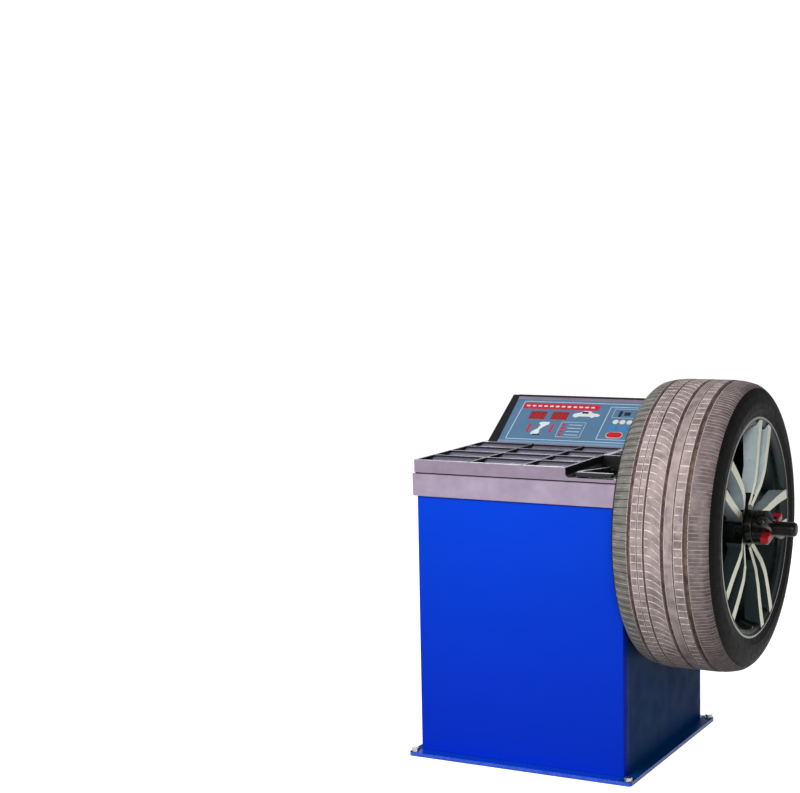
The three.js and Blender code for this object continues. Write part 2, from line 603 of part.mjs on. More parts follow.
function buildDrive() {
  const motorAxis = new THREE.Group();
  motorAxis.position.set(0, MOTOR.y, MOTOR.z);
  machine.add(motorAxis);

  const { left, right, radius, shaft } = MOTOR;
  const shell = turned([
    [left, shaft + 1.5], [left + 12, shaft + 1.5], [left + 12, 52], [right - 12, 52],
    [right - 12, shaft + 1.5], [right, shaft + 1.5], [right, 40], [right - 14, radius - 4],
    [left + 14, radius - 4], [left, 40],
  ], 24);
  const ribs = [];
  for (let i = 0; i < 5; i += 1) {
    ribs.push(ring(left + 40 + i * 26, left + 46 + i * 26, 54, radius, 24));
  }
  const feet = block(left + 20, right - 20, -50, 50, -radius - 5, -radius + 8);
  const clear = rod(left + 12, right - 12, 52, 32);
  const housing = join(shell, ...ribs, cut(feet, clear));
  part(motorAxis, 'motor_housing', housing, 'motorPaint');

  const rotor = turned([
    [150, 0], [150, shaft], [left + 30, shaft], [left + 30, 44], [right - 30, 44], [right - 30, shaft],
    [right - 2, shaft], [right - 2, 0],
  ], 24);
  part(motorAxis, 'motor_rotor', rotor, 'steel');
  const half = PULLEY.width / 2;
  const small = ring(PULLEY.x - half, PULLEY.x + half, shaft + GAP, PULLEY.small, 24);
  part(motorAxis, 'motor_pulley', small, 'steel');

  part(machine, 'drive_belt', beltLoop(), 'beltRubber');

  const shelfTop = MOTOR.z - radius - 5 - GAP;
  const shelf = block(left + 10, right - 10, 264.3, MOTOR.y + 60, shelfTop - 6, shelfTop);
  const leg = block(left + 30, right - 10, 258 + GAP, 264.3, shelfTop - 80, shelfTop);
  part(machine, 'motor_bracket', join(shelf, leg), 'castIron');

  // The power board stands on four spacers against the left side panel.
  const { front, back, low, high } = POWER_BOARD;
  const board = block(10, 12, front, back, low, high);
  const heatSink = block(11, 40, front + 20, front + 80, low + 20, low + 60);
  const coilBlock = block(11, 36, front + 100, front + 140, low + 50, low + 100);
  const spacers = [];
  for (const y of [front + 10, back - 10]) {
    for (const z of [low + 10, high - 10]) {
      spacers.push(moved(rod(CABINET.sheet + GAP, 11, 4, 10), 0, y, z));
    }
  }
  part(machine, 'power_board', join(board, heatSink, coilBlock, ...spacers), 'circuit');
}

// A flat belt round the two pulleys, tangent to both, in the plane of the pulleys.
function beltLoop() {
  const dy = MOTOR.y - SPINDLE.y;
  const dz = MOTOR.z - SPINDLE.z;
  const distance = Math.hypot(dy, dz);
  const heading = Math.atan2(dz, dy);
  const loop = (grow) => {
    const big = PULLEY.large + GAP + grow;
    const small = PULLEY.small + GAP + grow;
    const lean = Math.acos((big - small) / distance);
    const shape = new THREE.Shape();
    shape.absarc(SPINDLE.y, SPINDLE.z, big, heading + lean, heading - lean + 2 * Math.PI, false);
    shape.absarc(MOTOR.y, MOTOR.z, small, heading - lean + 2 * Math.PI, heading + lean + 2 * Math.PI, false);
    return shape;
  };
  const outer = section(loop(BELT.thickness), PULLEY.x - BELT.width / 2, PULLEY.x + BELT.width / 2, 14);
  const inner = section(loop(0), PULLEY.x - BELT.width, PULLEY.x + BELT.width, 14);
  return cut(outer, inner);
}

// ---------- Wheel ----------

// Mirrors a half profile, given from the middle outwards and back, about the wheel's centre plane.
function mirrored(outer, inner) {
  const flip = (points) => points.map(([x, r]) => [-x, r]);
  const path = [...flip(outer).reverse(), ...outer, ...[...inner].reverse(), ...flip(inner)];
  return path.map(([x, r]) => [WHEEL.centre + x, r]);
}

function buildWheel() {
  const R = WHEEL.radius;
  const bead = WHEEL.flange + 0.4;
  const tyreOuter = [
    [62, R], [86, R - 2.5], [101, R - 7], [113, R - 14], [121.5, R - 24], [128, R - 38],
    [131, R - 54], [129.5, bead + 17], [124.6, bead], [118.4, bead], [118.4, 255.5], [98, 255.5],
  ];
  const tyreInner = [[88, R - 14], [112, R - 24], [121, R - 54], [112, bead + 4.6]];
  part(spindleAxis, 'tyre', turned(mirrored(tyreOuter, tyreInner), 56), 'tyreRubber');

  const rimOuter = [
    [52, 226], [84, 248], [98, 254.7], [119, 254.7], [119, WHEEL.flange], [WHEEL.halfWidth, WHEEL.flange],
  ];
  const rimInner = [[48, 219], [84, 241], [98, 248], [115, 249.5], [WHEEL.halfWidth, 263]];
  part(spindleAxis, 'rim_barrel', turned(mirrored(rimOuter, rimInner), 56), 'darkAlloy');

  // The spoked disc: a sunk hub with lug holes, and paired bars that rise to the rim's lip.
  const { hubFace, bore } = WHEEL;
  const { pairs, first } = SPOKES;
  const hubBack = FLANGE.face + GAP;
  const lipFace = WHEEL.centre + WHEEL.halfWidth - GAP;
  const bars = [];
  const lugHoles = [];
  for (let i = 0; i < pairs; i += 1) {
    const angle = first + (360 / pairs) * i;
    bars.push(spokeBar(-1).rotate([-angle, 0, 0]), spokeBar(1).rotate([-angle, 0, 0]));
    const lugHole = moved(rod(hubBack - 5, hubFace, HUB.lugHole, 12), 0, 0, HUB.lugCircle);
    lugHoles.push(lugHole.rotate([-angle - 180 / pairs, 0, 0]));
  }
  const envelope = turned([
    [hubBack, bore], [hubFace, bore], [hubFace, HUB.seat + 10], [hubFace + 6, 78], [hubFace + 14, 110],
    [hubFace + 18, 150], [lipFace, 261.6], [822.6, 248.5], [806, 246.6], [792, 239.4], [799, 150],
    [794, 110], [780, HUB.radius + 10], [hubBack, HUB.radius],
  ], 48);
  const seat = rod(hubBack - 5, hubFace + 5, HUB.seat, 48);
  const hub = rod(hubBack - 5, hubFace - HUB.sunk, HUB.radius, 48);
  const star = cut(join(hub, seat, ...bars).intersect(envelope), ...lugHoles);
  part(spindleAxis, 'wheel_disc', star, 'alloy');

  const valve = rod(0, VALVE.length, VALVE.stem, 12).rotate([0, -VALVE.lean, 0]);
  const seated = moved(valve, WHEEL.centre + VALVE.seat, 0, VALVE.radius);
  part(spindleAxis, 'valve_stem', seated.rotate([VALVE.angle, 0, 0]), 'blackPlastic');
}

// One bar of a pair, pointing up: it leaves its twin near the hub and then runs beside it.
// Side is -1 or 1.
function spokeBar(side) {
  const { rootWidth, tipWidth, root, tip } = SPOKES;
  const edge = (sign) => {
    const points = BAR_LINE.map(([radius, offset]) => {
      const width = rootWidth + ((tipWidth - rootWidth) * (radius - root)) / (tip - root);
      return new THREE.Vector2(side * offset + (sign * width) / 2, radius);
    });
    return new THREE.SplineCurve(points).getPoints(14);
  };
  const shape = new THREE.Shape([...edge(-1), ...edge(1).reverse()]);
  return section(shape, SPOKES.back, SPOKES.front);
}

// ---------- Quick nut ----------

function buildQuickNut() {
  const bore = SPINDLE.thread + GAP;
  const mouth = WHEEL.hubFace + GAP;
  const cupEnd = mouth + CUP.depth;
  const cup = turned([
    [mouth, 36], [mouth + 12, 33], [mouth + 12, bore + 2], [cupEnd, bore + 2], [cupEnd, CUP.radius - 1.5],
    [cupEnd - 2, CUP.radius], [mouth, CUP.radius],
  ], 40);
  part(spindleAxis, 'pressure_cup', cup, 'blackPlastic');

  const back = cupEnd + GAP;
  const front = back + NUT.length;
  const drumEnd = back + NUT.drum;
  const body = turned([
    [back, bore], [front, bore], [front, NUT.collar - 3], [front - 3, NUT.collar],
    [drumEnd + 6, NUT.collar + 3], [drumEnd, CUP.radius - 4], [drumEnd - 3, CUP.radius],
    [back + 2, CUP.radius], [back, CUP.radius - 1.5],
  ], 40);
  const gripX = back + NUT.gripInset;
  const grip = new THREE.CapsuleGeometry(NUT.gripRadius, NUT.gripReach - 20, 3, 12);
  grip.rotateX(Math.PI / 2);
  grip.translate(gripX, 0, (NUT.gripReach + 20) / 2);
  const grips = GRIP_ANGLES.map((angle) => solid(grip).rotate([angle, 0, 0]));

  const { angles, low, high, halfWidth, thickness, boss } = BUTTON;
  const buttonX = front - 2 - thickness;
  const bosses = angles.map((angle) => {
    const lump = block(buttonX - 4, front, -halfWidth - 4, halfWidth + 4, NUT.collar - 6, boss);
    return lump.rotate([angle, 0, 0]);
  });
  const pockets = angles.map((angle) => {
    const pocket = block(buttonX, front + 5, -halfWidth, halfWidth, low - 4, CUP.radius + 8);
    return pocket.rotate([angle, 0, 0]);
  });
  const shaftBore = rod(back - 5, front + 60, bore, 40);
  part(spindleAxis, 'nut_body', cut(join(body, ...grips, ...bosses), shaftBore, ...pockets), 'blackPlastic');

  angles.forEach((angle, i) => {
    const button = block(
      buttonX + GAP, front + 4, -halfWidth + GAP, halfWidth - GAP, low, high);
    part(spindleAxis, `release_button_${'ab'[i]}`, button.rotate([angle, 0, 0]), 'redKey');
  });
}

buildBase();
buildCabinet();
buildPower();
buildSkirt();
buildTray();
buildGauge();
buildConsole();
buildSpindle();
buildSupport();
buildDrive();
buildWheel();
buildQuickNut();

// The origin is the middle of the bottom of the bounding box.
const front = Math.min(BASE.front, SPINDLE.y - WHEEL.radius);
const back = Math.max(BASE.back, SPINDLE.y + WHEEL.radius);
machine.position.set(-(BASE.left + SPINDLE.end) / 2, -(front + back) / 2, 0);

const model = new THREE.Group();
model.add(machine);
export default model;
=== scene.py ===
"""Looks for a computer wheel balancer with a car wheel clamped on its spindle.

Lengths in the tables are millimetres in the machine frame: X from the cabinet's left side towards
the spindle's end, Y from the front face to the back, Z up from the floor. at() turns them into
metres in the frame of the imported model.
"""

import json
import math

import bmesh
import bpy
import numpy as np
from mathutils import Matrix, Vector

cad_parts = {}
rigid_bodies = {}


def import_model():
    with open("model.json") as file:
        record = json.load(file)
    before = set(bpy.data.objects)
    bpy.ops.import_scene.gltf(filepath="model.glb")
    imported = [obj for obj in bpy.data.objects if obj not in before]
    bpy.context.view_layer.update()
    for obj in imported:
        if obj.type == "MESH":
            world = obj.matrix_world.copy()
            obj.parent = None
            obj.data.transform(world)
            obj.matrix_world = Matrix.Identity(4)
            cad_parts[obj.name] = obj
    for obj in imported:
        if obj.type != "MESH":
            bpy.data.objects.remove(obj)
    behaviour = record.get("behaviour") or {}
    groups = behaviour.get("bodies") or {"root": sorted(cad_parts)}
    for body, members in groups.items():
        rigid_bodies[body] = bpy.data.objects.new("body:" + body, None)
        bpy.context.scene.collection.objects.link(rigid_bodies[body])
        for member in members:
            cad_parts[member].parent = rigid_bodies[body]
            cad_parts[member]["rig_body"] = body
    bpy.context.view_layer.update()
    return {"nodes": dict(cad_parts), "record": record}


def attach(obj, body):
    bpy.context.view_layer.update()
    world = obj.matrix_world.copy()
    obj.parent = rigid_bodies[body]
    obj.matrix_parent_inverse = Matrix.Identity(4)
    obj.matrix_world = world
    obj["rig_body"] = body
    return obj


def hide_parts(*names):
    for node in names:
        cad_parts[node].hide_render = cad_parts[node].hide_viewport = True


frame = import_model()

MM = 0.001
ORIGIN = (456, 217.5, 0)
AXIS_Y, AXIS_Z = 199, 616
WHEEL_X = 707.5
SLOTS = {row["node"]: row["material_slot"] for row in frame["record"]["subparts"]}


def at(x, y, z):
    return Vector(((x - ORIGIN[0]) * MM, (y - ORIGIN[1]) * MM, (z - ORIGIN[2]) * MM))


# ---------- Materials ----------

def mix_colour(tree, factor, low, high):
    mix = tree.nodes.new("ShaderNodeMix")
    mix.data_type = "RGBA"
    for socket, value in ((mix.inputs[0], factor), (mix.inputs[6], low), (mix.inputs[7], high)):
        if isinstance(value, bpy.types.NodeSocket):
            tree.links.new(value, socket)
        else:
            socket.default_value = (*value, 1) if isinstance(value, tuple) else value
    return mix.outputs[2]


def noise(tree, place, scale, detail=4, stretch=(1, 1, 1)):
    mapping = tree.nodes.new("ShaderNodeMapping")
    mapping.inputs["Scale"].default_value = stretch
    tree.links.new(place, mapping.inputs["Vector"])
    node = tree.nodes.new("ShaderNodeTexNoise")
    node.inputs["Scale"].default_value = scale
    node.inputs["Detail"].default_value = detail
    tree.links.new(mapping.outputs["Vector"], node.inputs["Vector"])
    return node.outputs["Fac"]


def spread(tree, value, low, high, start=0.3, end=0.7):
    """A value rescaled from start..end to low..high."""
    node = tree.nodes.new("ShaderNodeMapRange")
    tree.links.new(value, node.inputs["Value"])
    node.inputs["From Min"].default_value = start
    node.inputs["From Max"].default_value = end
    node.inputs["To Min"].default_value = low
    node.inputs["To Max"].default_value = high
    return node.outputs["Result"]


def srgb(r, g, b):
    def linear(c):
        c /= 255
        return c / 12.92 if c <= 0.04045 else ((c + 0.055) / 1.055) ** 2.4
    return (linear(r), linear(g), linear(b))


GLOSS_VARY = 0.08  # how far a material's roughness strays either way
COAT_ROUGHNESS = 0.12


def finish(name, colour, rough, metal=0.0, vary=0.08, patch=6.0, grain=900.0, bump=0.1, depth=0.1,
           dust=None, dust_share=0.0, stretch=(1, 1, 1), coat=0.0, specular=0.5, rings=0.0, edge_highlight=None,
           shade=None):
    """A node material: patches of tone, grain in the bump, uneven gloss, dust, and a painted highlight on
    sharp edges.

    patch and grain are noise scales per metre, depth is the bump's height in millimetres.
    shade is (colour, Z where it is full, Z where it ends) for painted shade that thins out with height.
    """
    material = bpy.data.materials.new(name)
    material.use_nodes = True
    tree = material.node_tree
    shader = tree.nodes["Principled BSDF"]
    place = tree.nodes.new("ShaderNodeTexCoord").outputs["Object"]
    broad = noise(tree, place, patch, 5)
    fine = noise(tree, place, grain, 3, stretch)
    low = tuple(c * (1 - vary) for c in colour)
    high = tuple(min(1, c * (1 + vary)) for c in colour)
    tone = mix_colour(tree, spread(tree, broad, 0, 1), low, high)
    if dust is not None:
        settled = noise(tree, place, patch * 4, 8)
        tone = mix_colour(tree, spread(tree, settled, 0, dust_share, 0.4, 0.75), tone, dust)
    # Sharp edges, found by pointiness, turn to the given colour: a painted highlight.
    if edge_highlight is not None:
        edges = tree.nodes.new("ShaderNodeNewGeometry").outputs["Pointiness"]
        edge_highlight_mask = tree.nodes.new("ShaderNodeMath")
        edge_highlight_mask.operation = "MULTIPLY"
        tree.links.new(spread(tree, edges, 0, 1, 0.53, 0.62), edge_highlight_mask.inputs[0])
        tree.links.new(spread(tree, noise(tree, place, patch * 12, 6), 0, 1, 0.35, 0.6), edge_highlight_mask.inputs[1])
        tone = mix_colour(tree, edge_highlight_mask.outputs[0], tone, edge_highlight)
    # Colour turns towards the given darker colour below the given heights: painted shade.
    if shade is not None:
        split = tree.nodes.new("ShaderNodeSeparateXYZ")
        tree.links.new(place, split.inputs["Vector"])
        shade_colour, full, end = shade
        tone = mix_colour(tree, spread(tree, split.outputs["Z"], 1, 0, full * MM, end * MM), tone, shade_colour)
    tree.links.new(tone, shader.inputs["Base Color"])
    gloss = noise(tree, place, patch * 7, 6)
    uneven = spread(tree, gloss, rough - GLOSS_VARY, rough + GLOSS_VARY)
    tree.links.new(uneven, shader.inputs["Roughness"])
    height = fine
    if rings:
        shift = tree.nodes.new("ShaderNodeMapping")
        shift.inputs["Location"].default_value = -at(WHEEL_X, AXIS_Y, AXIS_Z)
        tree.links.new(place, shift.inputs["Vector"])
        wave = tree.nodes.new("ShaderNodeTexWave")
        wave.wave_type = "RINGS"
        wave.rings_direction = "X"
        wave.inputs["Scale"].default_value = rings
        wave.inputs["Distortion"].default_value = 0.4
        tree.links.new(shift.outputs["Vector"], wave.inputs["Vector"])
        height = wave.outputs["Fac"]
    relief = tree.nodes.new("ShaderNodeBump")
    relief.inputs["Strength"].default_value = bump
    relief.inputs["Distance"].default_value = depth * MM
    tree.links.new(height, relief.inputs["Height"])
    tree.links.new(relief.outputs["Normal"], shader.inputs["Normal"])
    shader.inputs["Metallic"].default_value = metal
    shader.inputs["Specular IOR Level"].default_value = specular
    shader.inputs["Coat Weight"].default_value = coat
    shader.inputs["Coat Roughness"].default_value = COAT_ROUGHNESS
    return material


LOOK = {
    # The front's blue darkens towards the floor: painted shade below a lighter top.
    "blue_paint": finish("blue_powder_coat", srgb(0, 62, 208), 0.5, vary=0.03, patch=3, grain=420,
                         bump=0.1, depth=0.1, specular=0.05, shade=(srgb(0, 44, 190), 60, 640)),
    "grey_plastic": finish("grey_abs", srgb(138, 122, 142), 0.46, vary=0.05, patch=9, grain=1500,
                           bump=0.3, depth=0.12, dust=srgb(176, 164, 178), dust_share=0.2, specular=0.35),
    "black_plastic": finish("black_abs", srgb(20, 21, 23), 0.38, specular=0.3, vary=0.25, patch=14,
                            grain=1300, bump=0.25, depth=0.1, dust=srgb(70, 70, 74), dust_share=0.12),
    "overlay_film": finish("overlay_film", srgb(90, 126, 160), 0.42, vary=0.05, patch=11, grain=2600,
                           bump=0.2, depth=0.05),
    "red_window": finish("red_acrylic", srgb(150, 12, 14), 0.12, vary=0.25, patch=60, grain=700,
                         bump=0.05, depth=0.03, coat=0.5),
    "white_key": finish("white_rubber", srgb(226, 232, 226), 0.45, vary=0.05, patch=50, grain=2400,
                        bump=0.2, depth=0.05, dust=srgb(190, 190, 180), dust_share=0.3),
    "blue_key": finish("blue_rubber", srgb(52, 138, 206), 0.42, vary=0.08, patch=50, grain=2400, bump=0.2,
                       depth=0.05),
    "red_key": finish("red_rubber", srgb(205, 24, 38), 0.35, vary=0.1, patch=50, grain=2400, bump=0.2,
                      depth=0.05),
    "green_key": finish("green_rubber", srgb(36, 146, 84), 0.42, vary=0.08, patch=50, grain=2400,
                        bump=0.2, depth=0.05),
    "circuit": finish("circuit_board", srgb(24, 84, 50), 0.45, vary=0.15, patch=60, grain=1600, bump=0.3,
                      depth=0.1, coat=0.2),
    "steel": finish("ground_steel", srgb(150, 152, 154), 0.32, metal=1, vary=0.12, patch=20, grain=700,
                    bump=0.15, depth=0.05, stretch=(1, 1, 8), dust=srgb(96, 84, 72), dust_share=0.25),
    "zinc": finish("zinc_plate", srgb(196, 198, 192), 0.34, metal=1, vary=0.1, patch=70, grain=900,
                   bump=0.15, depth=0.06, dust=srgb(150, 146, 130), dust_share=0.35),
    "cast_iron": finish("cast_iron", srgb(58, 62, 66), 0.6, metal=0.7, vary=0.2, patch=25, grain=500,
                        bump=0.5, depth=0.3, dust=srgb(104, 82, 66), dust_share=0.25),
    "motor_paint": finish("motor_paint", srgb(84, 90, 94), 0.48, vary=0.12, patch=18, grain=700, bump=0.3,
                          depth=0.15, dust=srgb(120, 116, 108), dust_share=0.25),
    "belt_rubber": finish("belt_rubber", srgb(26, 26, 27), 0.7, vary=0.2, patch=30, grain=900, bump=0.4,
                          depth=0.2, dust=srgb(84, 80, 76), dust_share=0.3),
    "tyre_rubber": finish("tyre_sidewall", srgb(17, 17, 16), 0.55, vary=0.2, patch=9, bump=0.5, depth=0.6,
                          rings=14, dust=srgb(50, 48, 45), dust_share=0.2, specular=0.08),
    "alloy": finish("machined_alloy", srgb(205, 204, 186), 0.34, metal=1, vary=0.04, patch=12, bump=0.12,
                    depth=0.06, rings=300, dust=srgb(164, 158, 142), dust_share=0.2),
    # Dark paint for the barrel's inside and the sunk hub: painted shade.
    "dark_alloy": finish("rim_paint_darkened_as_shade", srgb(44, 50, 50), 0.34, metal=0.9, vary=0.2, patch=10,
                         grain=600, bump=0.15, depth=0.1, dust=srgb(46, 46, 42), dust_share=0.3),
}
# Blue base paint with light blue on its sharp edges: a painted highlight.
BASE_PAINT = finish("blue_base_paint", srgb(2, 66, 196), 0.24, vary=0.04, patch=8, grain=420, bump=0.06,
                    depth=0.06, specular=0.4, edge_highlight=srgb(120, 164, 232))
# A darker copy of the blue paint for the sides: painted shade.
SHADED_SIDE_PAINT = finish("blue_side_paint_shaded", srgb(0, 60, 118), 0.45, vary=0.04, patch=3, grain=420, bump=0.1,
                    depth=0.1, specular=0.02)
SKIRT_PLASTIC = finish("grey_abs_skirt", srgb(152, 136, 158), 0.46, vary=0.1, patch=5, grain=1500,
                       bump=0.3, depth=0.12, dust=srgb(188, 174, 194), dust_share=0.4, specular=0.35)
# Bin floors darken towards their deep fronts: painted shade.
BIN_SLOPE = finish("grey_abs_bin_slope_shaded", srgb(126, 120, 148), 0.42, vary=0.06, patch=14, grain=1500,
                   bump=0.3, depth=0.12, specular=0.4, shade=(srgb(20, 18, 26), 756, 764.5))
# Near black for the bins' walls, the long dividers' tops and the groove under the tray: painted shade.
BIN_SHADE = finish("grey_abs_bin_shade", srgb(28, 25, 32), 0.5, vary=0.12, patch=14, grain=1500, bump=0.3,
                  depth=0.12, specular=0.2, shade=(srgb(12, 10, 14), 756, 768))
TREAD = finish("tyre_tread", srgb(140, 125, 124), 0.85, vary=0.3, patch=11, grain=420, bump=0.5,
               depth=0.35, dust=srgb(188, 172, 170), dust_share=0.75, specular=0.2)
INNER_SHOULDER = finish("tyre_inner_shoulder", srgb(104, 104, 98), 0.8, vary=0.2, patch=9, grain=420,
                        bump=0.5, depth=0.3, dust=srgb(150, 146, 140), dust_share=0.5, specular=0.25)
OUTER_SHOULDER = finish("tyre_outer_shoulder", srgb(108, 94, 96), 0.85, vary=0.25, patch=11, grain=420,
                        bump=0.5, depth=0.35, dust=srgb(160, 146, 146), dust_share=0.55, specular=0.2)
# Lighter fine cuts on the shoulders: painted highlights.
FINE_CUT = finish("tyre_fine_cut_highlight", srgb(158, 146, 142), 0.9, vary=0.15, patch=16, grain=420, bump=0.4,
                  depth=0.3, dust=srgb(92, 80, 80), dust_share=0.8, specular=0.15)
GROOVE = finish("tyre_groove", srgb(80, 64, 60), 0.9, vary=0.25, patch=14, grain=420, bump=0.4, depth=0.3,
                dust=srgb(150, 128, 114), dust_share=0.6, specular=0.15)
# Pale cross cuts on the tread: dust in them, and painted highlights on their edges.
CUT = finish("tyre_cut_dust_and_highlight", srgb(222, 210, 202), 0.9, vary=0.1, patch=22, grain=420, bump=0.4,
             depth=0.3, dust=srgb(116, 100, 98), dust_share=0.95, specular=0.15)
DARK_CUT = finish("tyre_cut_dark", srgb(52, 52, 48), 0.9, vary=0.25, patch=16, grain=420, bump=0.4,
                  depth=0.3, dust=srgb(90, 88, 82), dust_share=0.6, specular=0.15)
# Pale strips along the ribs' edges: painted highlights.
PALE_EDGE = finish("tyre_rib_edge_highlight", srgb(204, 190, 184), 0.85, vary=0.15, patch=14, grain=420, bump=0.5,
                   depth=0.3, dust=srgb(120, 104, 102), dust_share=0.8, specular=0.2)
RIM_LIP = finish("machined_rim_lip", srgb(158, 158, 150), 0.38, metal=1, vary=0.08, patch=14, grain=700,
                 bump=0.12, depth=0.05, dust=srgb(110, 108, 100), dust_share=0.3)
# Lighter tops of the ridges between the bins: painted highlight.
RIDGE_HIGHLIGHT = finish("grey_abs_ridge_highlight", srgb(180, 174, 196), 0.4, vary=0.05, patch=14, grain=1500, bump=0.3,
               depth=0.12, specular=0.5)
# Spoke sides pale where high and dark lower down: painted light on the upper spokes, painted shade on the
# lower ones.
SPOKE_SIDE_LIGHT_AND_SHADE = finish("spoke_side_painted_light_and_shade", srgb(222, 238, 242), 0.34, metal=0.1, vary=0.08, patch=14,
                    grain=700, bump=0.12, depth=0.08, dust=srgb(130, 142, 142), dust_share=0.2,
                    shade=(srgb(54, 64, 66), 580, 700))
BLACK_OXIDE = finish("black_oxide", srgb(24, 24, 26), 0.33, metal=0.75, vary=0.2, patch=30, grain=800,
                     bump=0.2, depth=0.08, dust=srgb(70, 66, 60), dust_share=0.2)
FLANGE_FACE = finish("machined_flange", srgb(206, 216, 214), 0.42, metal=0.6, vary=0.12, patch=20,
                     bump=0.15, depth=0.05, rings=300, dust=srgb(130, 134, 130), dust_share=0.2)
NUT_PLASTIC = finish("black_nylon", srgb(9, 9, 11), 0.3, vary=0.2, patch=20, grain=1300, bump=0.2,
                     depth=0.08, dust=srgb(34, 34, 38), dust_share=0.06, specular=0.35)
PANEL_EDGE_HIGHLIGHT = finish("overlay_film_edge_highlight", srgb(120, 158, 190), 0.4, vary=0.08, patch=11, grain=2600,
                    bump=0.2, depth=0.05)
PRINT_PALE = finish("pale_print", srgb(194, 220, 236), 0.4, vary=0.08, patch=40, grain=2400, bump=0.15,
                    depth=0.04)
PRINT_WHITE = finish("white_print", srgb(232, 236, 236), 0.4, vary=0.05, patch=40, grain=2400, bump=0.15,
                     depth=0.04)
PRINT_RED = finish("red_print", srgb(206, 40, 66), 0.36, vary=0.14, patch=70, grain=2400, bump=0.15,
                   depth=0.04)
PRINT_DARK = finish("dark_print", srgb(24, 28, 34), 0.4, vary=0.12, patch=60, grain=2400, bump=0.15,
                    depth=0.04)

for node, piece in frame["nodes"].items():
    piece.data.materials.clear()
    piece.data.materials.append(LOOK[SLOTS[node]])


# ---------- Making pieces ----------

def soften(mesh, angle):
    mesh.shade_smooth()
    mesh.set_sharp_from_angle(angle=math.radians(angle))


def publish(name, mesh, body, materials, replaces=(), sharp=40):
    """Puts a mesh in the scene as a named piece that rides on a body."""
    piece = bpy.data.objects.new(name, mesh)
    bpy.context.scene.collection.objects.link(piece)
    if sharp:
        soften(mesh, sharp)
    for material in materials:
        mesh.materials.append(material)
    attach(piece, body)
    if replaces:
        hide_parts(*replaces)
    return piece


def from_bmesh(name, bm):
    bmesh.ops.recalc_face_normals(bm, faces=bm.faces)
    mesh = bpy.data.meshes.new(name)
    bm.to_mesh(mesh)
    bm.free()
    return mesh


def from_arrays(name, points, faces):
    mesh = bpy.data.meshes.new(name)
    mesh.from_pydata([tuple(p) for p in points], [], faces)
    mesh.update()
    return mesh


def bevelled(piece, width, segments=2, angle=30):
    bevel = piece.modifiers.new("rounded_edges", "BEVEL")
    bevel.width = width * MM
    bevel.segments = segments
    bevel.limit_method = "ANGLE"
    bevel.angle_limit = math.radians(angle)
    bevel.harden_normals = True
    return piece


def cad_bmesh(node):
    """The CAD node's shape with its triangles joined into flat faces."""
    source = frame["nodes"][node].data
    bm = bmesh.new()
    points = [bm.verts.new(v.co) for v in source.vertices]
    for polygon in source.polygons:
        bm.faces.new([points[i] for i in polygon.vertices])
    bmesh.ops.remove_doubles(bm, verts=bm.verts, dist=2e-6)
    bmesh.ops.dissolve_limit(bm, angle_limit=math.radians(1), verts=bm.verts, edges=bm.edges)
    return bm


def refined(node, width, segments=2, material=None):
    """A copy of the CAD node with rounded edges, which stands for it."""
    mesh = from_bmesh(node + "_finished", cad_bmesh(node))
    body = frame["nodes"][node]["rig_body"]
    look = material or LOOK[SLOTS[node]]
    piece = publish(node + "_finished", mesh, body, [look], [node])
    return bevelled(piece, width, segments)


def lathe(profile, segments):
    """Turns a closed profile of (x, radius) about the spindle's axis. Returns points and faces."""
    count = len(profile)
    points, faces = [], []
    for i in range(segments):
        turn = 2 * math.pi * i / segments
        for x, radius in profile:
            points.append(at(x, AXIS_Y + radius * math.sin(turn), AXIS_Z + radius * math.cos(turn)))
    for i in range(segments):
        here, there = i * count, ((i + 1) % segments) * count
        for j in range(count):
            k = (j + 1) % count
            faces.append((here + j, there + j, there + k, here + k))
    return points, faces


def smooth_curve(points, steps):
    """A Catmull-Rom curve through points, with steps spans between each pair."""
    points = [np.array(p, float) for p in points]
    ends = [2 * points[0] - points[1], *points, 2 * points[-1] - points[-2]]
    curve = []
    for a, b, c, d in zip(ends, ends[1:], ends[2:], ends[3:]):
        for step in range(steps):
            t = step / steps
            curve.append(0.5 * (2 * b + (c - a) * t + (2 * a - 5 * b + 4 * c - d) * t ** 2
                                + (3 * b - a - 3 * c + d) * t ** 3))
    curve.append(points[-1])
    return [tuple(p) for p in curve]


# ---------- Cabinet, base and tray ----------

for node, width in (("front_panel", 0.8), ("rear_panel", 0.5), ("gauge_pan", 0.8), ("gauge_arm", 0.8),
                    ("console_cheek_left", 3.0), ("console_cheek_right", 3.0), ("console_overlay", 0.3),
                    ("power_inlet", 0.6), ("power_switch", 0.7)):
    refined(node, width)
# The side panels get the darker copy of the blue paint: painted shade.
refined("left_side_panel", 0.5, material=SHADED_SIDE_PAINT)
refined("right_side_panel", 0.5, material=SHADED_SIDE_PAINT)
refined("tray_skirt", 1.6, material=SKIRT_PLASTIC)


def by_face(piece, materials, choose):
    """Gives each face the material whose number choose(x, y, z, normal) returns. 0 is the piece's own."""
    for material in materials:
        piece.data.materials.append(material)
    for polygon in piece.data.polygons:
        x, y, z = (polygon.center[i] / MM + ORIGIN[i] for i in range(3))
        polygon.material_index = choose(x, y, z, polygon.normal)


# Black strips in the joints between the side panels and the folded ends of the front and rear panels: painted
# shadow of the gaps there.
seam_shadows = bmesh.new()
for x0, x1 in ((-0.35, 1), (560, 561.35)):
    for y in (30.3, 557.7):
        bmesh.ops.create_cube(seam_shadows, size=1, matrix=Matrix.Translation(at((x0 + x1) / 2, y, 370))
                              @ Matrix.Diagonal(((x1 - x0) * MM, 1.7 * MM, 714 * MM, 1)))
seam_shadow_piece = publish("panel_seam_shadows", from_bmesh("panel_seam_shadows", seam_shadows), "cabinet",
                     [LOOK["black_plastic"]], sharp=20)
bevelled(seam_shadow_piece, 0.15, 1)


